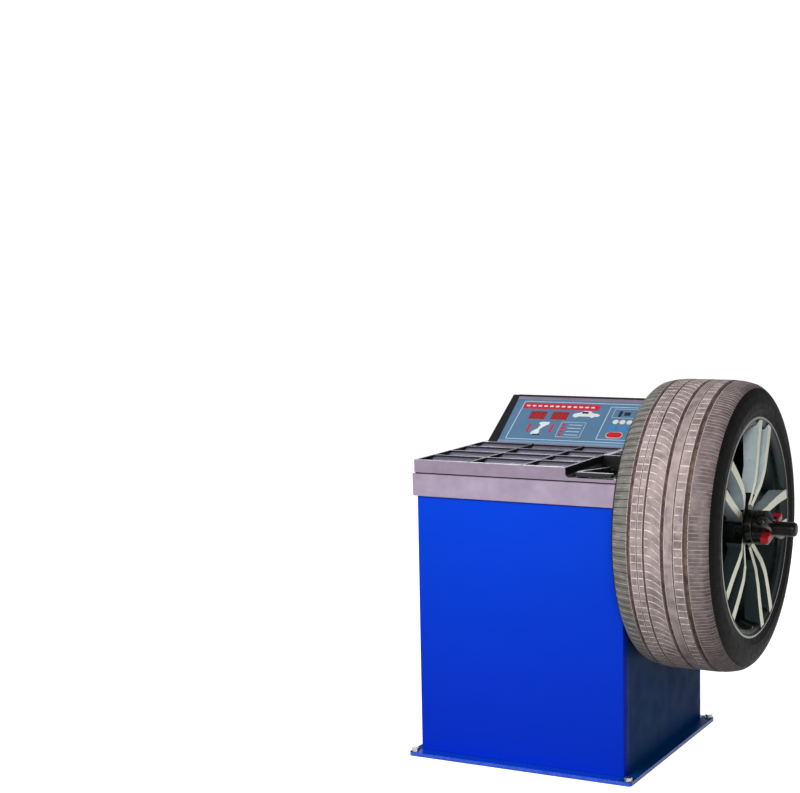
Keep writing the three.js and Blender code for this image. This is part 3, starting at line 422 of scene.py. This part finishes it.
def split_at(piece, places):
    """Cuts the piece's faces along planes across X, so that each side can have its own material."""
    bm = bmesh.new()
    bm.from_mesh(piece.data)
    for x in places:
        bmesh.ops.bisect_plane(bm, geom=bm.verts[:] + bm.edges[:] + bm.faces[:], dist=1e-6,
                               plane_co=at(x, 0, 0), plane_no=(1, 0, 0))
    bm.to_mesh(piece.data)
    bm.free()
    return piece


REBATE_TOP = 737.2  # top of the groove between tray and skirt, which is painted dark as shade
TRAY_TOP, TRAY_FLOOR = 768, 738  # the bins' floors and walls have their centres between these heights
TRAY_X, TRAY_Y = (-2, 562), (-2, 572)  # and within these spans
DIVIDERS = (144.5, 151), (292.5, 299), (409.5, 413.5)  # X spans of the long walls between the bins


def tray_look(x, y, z, normal):
    """0 outer skin, 1 sloping bin floors, 2 painted shade on bin walls, groove and long dividers' tops, 3
    painted highlight on the other ridges.
    """
    edge = not (TRAY_X[0] <= x <= TRAY_X[1] and TRAY_Y[0] <= y <= TRAY_Y[1])
    if z < REBATE_TOP:
        return 2
    if z > TRAY_TOP and normal.z > 0.9:
        divider = any(left < x < right for left, right in DIVIDERS) and not edge
        return 2 if divider else 3
    if z > TRAY_TOP or edge or z < TRAY_FLOOR:
        return 0
    return 1 if normal.z > 0.5 else 2


def console_look(x, y, z, normal):
    """The console's top edge and back are black."""
    return 1 if normal.z > 0.95 or normal.y > 0.7 else 0


tray = split_at(refined("weight_tray", 1.2), [x for divider in DIVIDERS for x in divider])
by_face(tray, [BIN_SLOPE, BIN_SHADE, RIDGE_HIGHLIGHT], tray_look)
by_face(refined("console_housing", 1.6), [LOOK["black_plastic"]], console_look)
CABINET_X = (0, 561)  # the base plate's top beside the cabinet takes the side panels' painted shade
by_face(split_at(refined("base_plate", 2.2, material=BASE_PAINT), CABINET_X), [SHADED_SIDE_PAINT],
        lambda x, y, z, normal: 1 if (x < CABINET_X[0] or x > CABINET_X[1]) and normal.z > 0.9 else 0)
for place in ("front_left", "front_right", "rear_right", "rear_left"):
    refined("anchor_bolt_" + place, 1.1, segments=3)
for key in ("key_round_left", "key_round_middle", "key_round_right", "key_blue_left", "key_blue_right",
            "key_stop", "key_start"):
    refined(key, 0.6, segments=3)
for window in ("digit_window_left", "digit_window_right"):
    refined(window, 0.3)


# ---------- Console graphics ----------

SLOPE = math.radians(33)
PANEL_Y, PANEL_Z = 398, 769.3
OVERLAY_FACE = -0.5
PRINT = 0.16
# Bottom and top of a mark printed over another mark, and of the digits' bars behind their window.
SECOND_COAT = (OVERLAY_FACE + PRINT - 0.05, OVERLAY_FACE + 2 * PRINT)
DIGIT_BAR = (OVERLAY_FACE - 0.3, OVERLAY_FACE + 0.02)


def on_panel(x, up, out):
    """A place on the sloping panel: along it, up the slope and out of its face."""
    return at(x, PANEL_Y + up * math.cos(SLOPE) - out * math.sin(SLOPE),
              PANEL_Z + up * math.sin(SLOPE) + out * math.cos(SLOPE))


def add_print(bm, outline, base=OVERLAY_FACE - 0.1, top=OVERLAY_FACE + PRINT):
    """A flat outline of (x, up) points, raised a little above the overlay."""
    low = [bm.verts.new(on_panel(x, up, base)) for x, up in outline]
    high = [bm.verts.new(on_panel(x, up, top)) for x, up in outline]
    bm.faces.new(high)
    bm.faces.new(list(reversed(low)))
    for i in range(len(outline)):
        j = (i + 1) % len(outline)
        bm.faces.new((low[i], low[j], high[j], high[i]))


def rounded_rectangle(x0, x1, y0, y1, radius, steps=5):
    points = []
    for cx, cy, start in ((x1 - radius, y0 + radius, -90), (x1 - radius, y1 - radius, 0),
                          (x0 + radius, y1 - radius, 90), (x0 + radius, y0 + radius, 180)):
        for step in range(steps + 1):
            turn = math.radians(start + 90 * step / steps)
            points.append((cx + radius * math.cos(turn), cy + radius * math.sin(turn)))
    return points


def add_frame(bm, x0, x1, y0, y1, line, radius=4):
    """A line drawn round a rounded rectangle."""
    outer = rounded_rectangle(x0, x1, y0, y1, radius)
    inner = rounded_rectangle(x0 + line, x1 - line, y0 + line, y1 - line, max(radius - line, 0.2))
    count = len(outer)
    rings = [[bm.verts.new(on_panel(x, up, out)) for x, up in path]
             for path, out in ((outer, OVERLAY_FACE - 0.1), (outer, OVERLAY_FACE + PRINT),
                               (inner, OVERLAY_FACE + PRINT), (inner, OVERLAY_FACE - 0.1))]
    for ring, following in zip(rings, rings[1:] + rings[:1]):
        for i in range(count):
            j = (i + 1) % count
            bm.faces.new((ring[i], ring[j], following[j], following[i]))


def box_outline(x0, x1, y0, y1):
    return [(x0, y0), (x1, y0), (x1, y1), (x0, y1)]


def publish_print(name, bm, material):
    publish(name, from_bmesh(name, bm), "cabinet", [material], sharp=0)


# Black trims that hide the overlay's slanting ends.
for side, outline in (("left", [(20, 1), (37.5, 1), (30, 206), (20, 206)]),
                      ("right", [(515.5, 1), (533, 1), (533, 206), (523, 206)])):
    trim = bmesh.new()
    add_print(trim, outline, -1.8, 1.6)
    piece = publish(f"console_trim_{side}", from_bmesh("console_trim", trim), "cabinet",
                    [LOOK["black_plastic"]])
    bevelled(piece, 0.8)

top_trim = bmesh.new()
add_print(top_trim, [(27.5, 200.5), (525.5, 200.5), (525.5, 207.5), (27.5, 207.5)], -1.8, 1.2)
publish("console_trim_top", from_bmesh("console_trim_top", top_trim), "cabinet",
        [LOOK["black_plastic"]])

# A paler strip along the overlay's lower edge: a painted highlight.
bottom_trim = bmesh.new()
add_print(bottom_trim, box_outline(38, 515, 2.4, 9.4), -1.8, 0.4)
publish("console_trim_bottom", from_bmesh("console_trim_bottom", bottom_trim), "cabinet",
        [PANEL_EDGE_HIGHLIGHT])

pale = bmesh.new()
add_frame(pale, 55.5, 508, 16, 181, 2.4)
add_frame(pale, 318, 498, 28, 168, 2.2)
add_frame(pale, 198, 270, 32, 96, 1.3, 2)
add_frame(pale, 334, 480, 121, 160, 1.3, 2)
for line in range(4):
    add_print(pale, box_outline(222, 262, 41 + line * 14, 43.4 + line * 14))
publish_print("panel_outlines", pale, PRINT_PALE)

red = bmesh.new()
add_print(red, rounded_rectangle(58, 288, 148, 174, 9))
add_print(red, [(105, 48), (112, 48), (112, 84), (105, 84)])
add_print(red, [(172, 48), (179, 48), (179, 84), (172, 84)])
for line in range(4):
    add_print(red, box_outline(204, 213, 37 + line * 14, 47 + line * 14))
publish_print("panel_red_marks", red, PRINT_RED)

white = bmesh.new()
CAR = [(220, 121), (225, 118), (231, 116), (237, 121), (244, 122), (270, 122), (277, 117), (284, 122),
       (296, 124), (298, 131), (288, 135), (276, 137), (266, 145), (248, 146), (238, 138), (224, 134),
       (219, 129)]
add_print(white, CAR)
RIM_SECTION = [(121, 40), (140, 38), (146, 46), (143, 60), (150, 72), (163, 84), (163, 93), (140, 93),
               (132, 88), (140, 78), (136, 64), (124, 52)]
add_print(white, RIM_SECTION)
for line in range(12):
    left = 68 + line * 17.6
    add_print(white, rounded_rectangle(left, left + 11, 158, 164, 2.4), *SECOND_COAT)
publish_print("panel_white_marks", white, PRINT_WHITE)

dark = bmesh.new()
add_print(dark, [(350, 126), (359, 126), (360, 150), (351, 152)])
add_print(dark, box_outline(366, 384, 132, 146))
add_print(dark, rounded_rectangle(243, 262, 134, 142, 3), *SECOND_COAT)
add_print(dark, rounded_rectangle(128, 150, 36, 41, 2), *SECOND_COAT)
publish_print("panel_dark_marks", dark, PRINT_DARK)

stop_ring = bmesh.new()
add_frame(stop_ring, 341.4, 388.6, 36.4, 61.6, 2.0, 12)
publish_print("stop_key_ring", stop_ring, PRINT_WHITE)

# Seven-segment digits behind the windows, three in each.
SEGMENTS = finish("display_segments", srgb(214, 34, 28), 0.3, vary=0.15, patch=80, grain=2400, bump=0.1,
                  depth=0.03)
digits = bmesh.new()
for window_left in (92, 158):
    for digit in range(3):
        left = window_left + 6 + digit * 13.4
        right, low, middle, high = left + 9.6, 110, 121, 132
        for y in (low, middle, high):
            add_print(digits, box_outline(left + 1.8, right - 1.8, y - 0.8, y + 0.8), *DIGIT_BAR)
        for x in (left, right):
            for y0, y1 in ((low + 1, middle - 1), (middle + 1, high - 1)):
                add_print(digits, box_outline(x - 0.8, x + 0.8, y0, y1), *DIGIT_BAR)
publish_print("display_segments", digits, SEGMENTS)


# ---------- Tyre ----------

R = 358  # the tyre's outer radius
PITCHES = 58  # repeats of the tread's pattern round the tyre
# The cross cuts within one pitch of the tread: middle, half width, and kind. Kinds 1 and 2 are the
# main cuts, and kind 3 is the fine ones between them on the shoulders.
CUTS = [(0.06, 0.036, 1), (0.31, 0.024, 3), (0.56, 0.036, 2), (0.81, 0.024, 3)]
COLUMNS = [(middle + side * half, kind if side == 0 else 0)
           for middle, half, kind in CUTS for side in (-1, 0, 1)]
CUT_DEPTH = 1.0


def crown(x):
    return R - 7 * (max(0, abs(x) - 50) / 51) ** 2.2


def tread_rows():
    """Rows across the tread: (x, radius, groove depth, kinds of cut, lean, is a rib's pale edge, a painted
    highlight).
    """
    rows = []

    def rib(places, kinds, sweep=0.0):
        x0, x1 = places[0], places[-1]
        for x in [x0, x0 + 1.3, *places[1:-1], x1 - 1.3, x1]:
            # Rows near a rib's edge get the pale painted highlight.
            pale = x - x0 < 1.5 or x1 - x < 1.5
            rows.append((x, crown(x), 0, kinds, sweep * ((x - x0) / (x1 - x0)) ** 2, pale))

    def groove(x0, x1, depth, wall=1.1):
        rows.append((x0 + wall, crown(x0), depth, (), rows[-1][4], False))
        rows.append((x1 - wall, crown(x1), depth, (), 0, False))

    rib([-104, -97, -90, -83, -76], (1, 2, 3))
    groove(-76, -67, 6)
    rib([-67, -60, -52], (1, 2))
    groove(-52, -50, 1.5, 0.4)
    rib([-50, -44, -37], (1, 2))
    groove(-37, -32, 5)
    rib([-32, -25, -17, -9, -1, 6], (1, 2), -0.06)
    groove(6, 15, 6)
    rib([15, 25, 35], ())
    groove(35, 38, 3, 0.7)
    rib([38, 46, 54, 60], (1, 2))
    groove(60, 72, 6)
    rib([72, 80, 88, 96, 104], (1, 2, 3))
    return rows


SHOULDER = [(104, 350.1), (109, 347), (114, 343), (118.5, 338), (122.4, 332), (126, 324), (128.8, 315),
            (130.6, 306), (130.8, 297), (129.6, 289), (127, 280), (124.8, 271.6)]
WORN_EDGE = 338  # the tread's material ends at this radius, and the sidewall's starts
BAND_INNER, BAND_OUTER = 284, 291  # radii of the raised band on the sidewall
BAND_RISE, HALF_WIDTH = 1.0, 131  # how far the band stands out, and no further than the half width
CUT_EDGE = 72  # cuts further than this from the tyre's middle have the shoulders' materials
INNER_EDGE, OUTER_EDGE = -77, 74  # the rubber beyond these has them too
TYRE_LOOKS = [LOOK["tyre_rubber"], TREAD, GROOVE, CUT, INNER_SHOULDER, DARK_CUT, PALE_EDGE,
              OUTER_SHOULDER, FINE_CUT]


def tyre():
    """The tyre as rings of points, with ribs, grooves and cross cuts pressed into its tread."""
    sides = []
    for x, radius in smooth_curve(SHOULDER, 3)[1:]:
        if BAND_INNER < radius < BAND_OUTER:
            x = min(x + BAND_RISE, HALF_WIDTH)
        sides.append((x, radius, 0, (1, 2, 3) if radius > WORN_EDGE - 5 else (), 0, False))
    bead = [(118.6, 271.4), (118.6, 257.0), (116, 255.6), (98.5, 255.6)]
    liner = [(96, 262), (112, 276), (120.5, 300), (119, 325), (110, 340), (88, 345), (40, 346)]
    outer = sides + [(x, r, 0, (), 0, False) for x, r in bead + liner]
    inner = [(-x, *rest) for x, *rest in reversed(outer)]
    middle = tread_rows()
    rows = inner + middle + outer
    count = len(rows)
    place, size, groove, lean = (np.array([row[i] for row in rows], float) for i in (0, 1, 2, 4))
    cuts = {kind: np.array([kind in row[3] for row in rows]) for kind in (0, 1, 2, 3)}
    columns = PITCHES * len(COLUMNS)
    points = np.zeros((columns, count, 3))
    for i in range(columns):
        phase, kind = COLUMNS[i % len(COLUMNS)]
        turn = 2 * math.pi * (i // len(COLUMNS) + phase) / PITCHES + lean
        radius = size - np.maximum(groove, CUT_DEPTH * cuts[kind])
        points[i, :, 0] = WHEEL_X + place - ORIGIN[0]
        points[i, :, 1] = AXIS_Y + radius * np.sin(turn) - ORIGIN[1]
        points[i, :, 2] = AXIS_Z + radius * np.cos(turn) - ORIGIN[2]

    def look(j, kinds):
        """The material of the face between rows j and j + 1."""
        k = (j + 1) % count
        x = (place[j] + place[k]) / 2
        worn = min(size[j], size[k]) > WORN_EDGE
        if groove[j] > 0 and groove[k] > 0:
            return GROOVE
        if not worn:
            return LOOK["tyre_rubber"]
        for kind in kinds:
            if kind and kind in rows[j][3] and kind in rows[k][3]:
                if x < -CUT_EDGE and kind == 3:
                    return DARK_CUT
                return FINE_CUT if abs(x) > CUT_EDGE else CUT
        if x < INNER_EDGE:
            return INNER_SHOULDER
        if x > OUTER_EDGE:
            return OUTER_SHOULDER
        return PALE_EDGE if rows[j][5] and rows[k][5] else TREAD

    faces, looks = [], []
    for i in range(columns):
        here, there = i * count, ((i + 1) % columns) * count
        kinds = COLUMNS[i % len(COLUMNS)][1], COLUMNS[(i + 1) % len(COLUMNS)][1]
        for j in range(count):
            k = (j + 1) % count
            faces.append((here + j, here + k, there + k, there + j))
            looks.append(TYRE_LOOKS.index(look(j, kinds)))
    mesh = from_arrays("tyre_finished", points.reshape(-1, 3) * MM, faces)
    mesh.polygons.foreach_set("material_index", looks)
    publish("tyre_finished", mesh, "wheel", TYRE_LOOKS, ["tyre"], 35)


tyre()


# ---------- Rim and spoked disc ----------

LIP_X, LIP_RADIUS = WHEEL_X + 123.9, 265.5  # faces beyond this X and this radius are machined


def from_axis(place):
    """Millimetres from the spindle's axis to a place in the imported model's frame."""
    return math.hypot(place.y - at(0, AXIS_Y, 0).y, place.z - AXIS_Z * MM) / MM


def rim():
    """The barrel: machined lip outside, inside a paint darkened as painted shade, with a drop centre and bead
    humps.
    """
    outside = smooth_curve([(0, 226), (50, 226), (58, 229), (80, 246), (88, 250)], 2)
    outside += [(96, 254), (98, 254.7), (116, 254.9), (118.6, 256.4), (119, 258), (119, 268.5),
                (119.6, 270.4)]
    lip = [(120.6, 271), (123.6, 271), (124.5, 270.2), (124.5, 265.6), (124.0, 264.8)]
    inside = [(120.4, 262.6), (118.8, 259.6), (117.4, 252.6), (115, 249.6), (104, 248.4)]
    inside += smooth_curve([(98, 248), (84, 241), (70, 230), (56, 222), (48, 219), (0, 219)], 2)
    half = outside + lip + inside
    mirror = [(-x, r) for x, r in reversed(half)]
    profile = half + mirror[1:-1]
    points, faces = lathe([(WHEEL_X + x, r) for x, r in profile], 144)
    mesh = from_arrays("rim_finished", points, faces)
    bm = bmesh.new()
    bm.from_mesh(mesh)
    bmesh.ops.remove_doubles(bm, verts=bm.verts, dist=1e-6)
    mesh = from_bmesh("rim_finished", bm)
    for polygon in mesh.polygons:
        if polygon.center.x > at(LIP_X, 0, 0).x and from_axis(polygon.center) > LIP_RADIUS:
            polygon.material_index = 1
    publish("rim_finished", mesh, "wheel", [LOOK["dark_alloy"], RIM_LIP], ["rim_barrel"],
            50)


rim()


HUB_HOLE = 46  # no face nearer than this to the axis is machined
HUB = 88  # painted faces nearer than this to the axis are dark: painted shade in the sunk hub
MACHINED_FROM = 800  # faces deeper than this X are painted


def spoked_disc():
    """The CAD disc with rounded edges: machined on the faces that look outwards, painted elsewhere."""
    mesh = from_bmesh("disc_finished", cad_bmesh("wheel_disc"))
    for polygon in mesh.polygons:
        radius = from_axis(polygon.center)
        outward = polygon.normal.x > 0.8 and radius > HUB_HOLE
        sunk = polygon.center.x < at(MACHINED_FROM, 0, 0).x
        polygon.material_index = 0 if outward and not sunk else 1
        if radius < HUB and polygon.material_index:
            polygon.material_index = 2
    piece = publish("disc_finished", mesh, "wheel", [LOOK["alloy"], SPOKE_SIDE_LIGHT_AND_SHADE, LOOK["dark_alloy"]],
                    ["wheel_disc"], 30)
    bevelled(piece, 1.2, 2, 35)


spoked_disc()


# ---------- Spindle thread and quick nut ----------

def threaded_spindle():
    """The shaft with a trapezoidal thread on the part that the quick nut grips."""
    pitch, crest, root = 5.0, 17.9, 16.9
    start, end = 724, 922
    journal = [(142, 12), (155, 12), (155, 15), (222, 15), (222, 19.9), (666, 19.9), (666, 17.9), (724, 17.9)]
    segments = 32
    thread = np.arange(start + 0.5, end, 0.5)
    rings = [[(x, r)] * segments for x, r in journal]
    for x in thread:
        ring = []
        for i in range(segments):
            phase = (x / pitch - i / segments) % 1
            wave = min(1, max(0, abs(phase - 0.5) * 5 - 0.75))
            fade = min(1, (x - start) / 6, (end - x) / 5)
            ring.append((x, crest - (crest - root) * wave * fade))
        rings.append(ring)
    rounded_end = (923, 17.9), (927, 17.2), (930, 15.4), (931.5, 12.6), (932, 9)
    rings += [[(x, r)] * segments for x, r in rounded_end]
    points, faces = [], []
    for ring in rings:
        for i, (x, radius) in enumerate(ring):
            turn = 2 * math.pi * i / segments
            points.append(at(x, AXIS_Y + radius * math.sin(turn), AXIS_Z + radius * math.cos(turn)))
    for j in range(len(rings) - 1):
        for i in range(segments):
            k = (i + 1) % segments
            a, b = j * segments, (j + 1) * segments
            faces.append((a + i, a + k, b + k, b + i))
    last = (len(rings) - 1) * segments
    faces.append(tuple(range(segments - 1, -1, -1)))
    faces.append(tuple(last + i for i in range(segments)))
    mesh = from_arrays("spindle_finished", points, faces)
    bm = bmesh.new()
    bm.from_mesh(mesh)
    mesh = from_bmesh("spindle_finished", bm)
    publish("spindle_finished", mesh, "spindle", [BLACK_OXIDE], ["spindle_shaft"], 30)


threaded_spindle()
for node, width in (("centring_cone", 0.8), ("release_button_a", 0.9), ("release_button_b", 0.9)):
    refined(node, width, 3)
refined("mounting_flange", 1.0, 3, material=FLANGE_FACE)
refined("pressure_cup", 1.2, 3, material=NUT_PLASTIC)
refined("nut_body", 1.0, 3, material=NUT_PLASTIC)


# ---------- Rear panel screws and inlet pins ----------

def pan_screw(bm, x, y, z):
    """A domed screw head with a shallow conical recess, on the back face."""
    rings = [(4.2, 0.0), (4.2, 0.8), (3.4, 1.7), (1.8, 2.1)]
    count = 20
    loops = []
    for radius, out in rings:
        loops.append([bm.verts.new(at(x + radius * math.cos(2 * math.pi * i / count), y + out,
                                      z + radius * math.sin(2 * math.pi * i / count))) for i in range(count)])
    for a, b in zip(loops, loops[1:]):
        for i in range(count):
            bm.faces.new((a[i], a[(i + 1) % count], b[(i + 1) % count], b[i]))
    bm.faces.new(loops[0])
    centre = bm.verts.new(at(x, y + 1.2, z))
    for i in range(count):
        bm.faces.new((loops[-1][i], loops[-1][(i + 1) % count], centre))


screws = bmesh.new()
for x in (14, 280, 547):
    for z in (28, 655):
        pan_screw(screws, x, 570.0, z)
for z in (240, 448):
    for x in (14, 547):
        pan_screw(screws, x, 570.0, z)
publish("rear_panel_screws", from_bmesh("rear_panel_screws", screws), "cabinet", [LOOK["zinc"]])

pins = bmesh.new()
for x, z in ((433, 187), (447, 187), (440, 193)):
    corners = [pins.verts.new(at(x + dx, y, z + dz)) for y in (554, 566)
               for dx, dz in ((-1, -2), (1, -2), (1, 2), (-1, 2))]
    for quad in ((0, 1, 2, 3), (4, 5, 6, 7), (0, 1, 5, 4), (1, 2, 6, 5), (2, 3, 7, 6), (3, 0, 4, 7)):
        pins.faces.new([corners[i] for i in quad])
publish("inlet_pins", from_bmesh("inlet_pins", pins), "cabinet", [LOOK["steel"]], sharp=20)


# ---------- Floor, light and camera ----------

# Strengths of the glow of the floor and of the white behind the object.
FLOOR_LIT, FLOOR_SEEN = 0.6, 0.95
WORLD_SEEN, WORLD_GLOSS, WORLD_DIFFUSE = 1.3, 0.32, 0.13


def stage():
    """A pale floor that glows a little, so that it meets the white background without an edge."""
    mesh = bpy.data.meshes.new("floor")
    size = 30
    corners = [(-size, -size, 0), (size, -size, 0), (size, size, 0), (-size, size, 0)]
    mesh.from_pydata(corners, [], [(0, 1, 2, 3)])
    floor = bpy.data.objects.new("floor", mesh)
    floor.location.z = -0.0005
    floor.visible_diffuse = False
    bpy.context.scene.collection.objects.link(floor)
    pale = finish("pale_floor", (0.8, 0.8, 0.8), 0.8, vary=0.01, patch=1, grain=40, bump=0.02,
                  specular=0.1)
    tree = pale.node_tree
    glow = tree.nodes["Principled BSDF"].inputs
    glow["Emission Color"].default_value = (1, 1, 1, 1)
    seen = tree.nodes.new("ShaderNodeLightPath").outputs["Is Camera Ray"]
    tree.links.new(spread(tree, seen, FLOOR_LIT, FLOOR_SEEN, 0, 1), glow["Emission Strength"])
    mesh.materials.append(pale)


def world():
    """White behind the object, dim in reflections and dimmer as a light: the shaded side stays dark."""
    studio = bpy.data.worlds.new("studio")
    bpy.context.scene.world = studio
    studio.use_nodes = True
    tree = studio.node_tree
    tree.nodes.clear()
    path = tree.nodes.new("ShaderNodeLightPath")
    seen, lit = tree.nodes.new("ShaderNodeBackground"), tree.nodes.new("ShaderNodeBackground")
    seen.inputs["Color"].default_value = (1, 1, 1, 1)
    seen.inputs["Strength"].default_value = WORLD_SEEN
    lit.inputs["Color"].default_value = (0.95, 0.97, 1.0, 1)
    dim = spread(tree, path.outputs["Is Diffuse Ray"], WORLD_GLOSS, WORLD_DIFFUSE, 0, 1)
    tree.links.new(dim, lit.inputs["Strength"])
    mix = tree.nodes.new("ShaderNodeMixShader")
    out = tree.nodes.new("ShaderNodeOutputWorld")
    tree.links.new(path.outputs["Is Camera Ray"], mix.inputs["Fac"])
    tree.links.new(lit.outputs["Background"], mix.inputs[1])
    tree.links.new(seen.outputs["Background"], mix.inputs[2])
    tree.links.new(mix.outputs["Shader"], out.inputs["Surface"])


def softbox(name, place, target, size, power, only_gloss=False):
    light = bpy.data.lights.new(name, "AREA")
    light.shape = "RECTANGLE"
    light.size, light.size_y = size
    light.energy = power
    lamp = bpy.data.objects.new(name, light)
    bpy.context.scene.collection.objects.link(lamp)
    lamp.location = place
    lamp.visible_diffuse = not only_gloss
    lamp.rotation_euler = (Vector(target) - Vector(place)).to_track_quat("-Z", "Y").to_euler()


def camera():
    """A view from the front right, a little above. The angles are radians and the place is metres."""
    yaw, pitch, roll = 0.492, 0.103, -0.019
    forward = Vector((-math.sin(yaw) * math.cos(pitch), math.cos(yaw) * math.cos(pitch), -math.sin(pitch)))
    level = Vector((math.cos(yaw), math.sin(yaw), 0))
    above = level.cross(forward)
    right = level * math.cos(roll) + above * math.sin(roll)
    up = above * math.cos(roll) - level * math.sin(roll)
    turn = Matrix((right, up, -forward)).transposed().to_4x4()
    data = bpy.data.cameras.new("camera")
    data.lens = 78.2
    data.sensor_width = 36
    data.shift_x, data.shift_y = -0.0239, 0.0115
    view = bpy.data.objects.new("camera", data)
    view.matrix_world = Matrix.Translation((1.6326, -4.0945, 1.3622)) @ turn
    bpy.context.scene.collection.objects.link(view)
    bpy.context.scene.camera = view


stage()
world()
softbox("key", (-1.4, -3.6, 2.5), (0, 0, 0.5), (2.0, 2.0), 145)
softbox("wheel_fill", (1.5, -3.8, 2.0), (0.4, 0, 0.7), (1.0, 1.0), 70)
softbox("back_fill", (-1.4, 3.8, 2.4), (0, 0, 0.5), (2.0, 1.6), 50)
softbox("wheel_card", (3.6, 1.6, 1.3), (0.4, 0, 0.6), (1.4, 1.4), 7, only_gloss=True)
camera()
bpy.context.scene.view_settings.view_transform = "Standard"
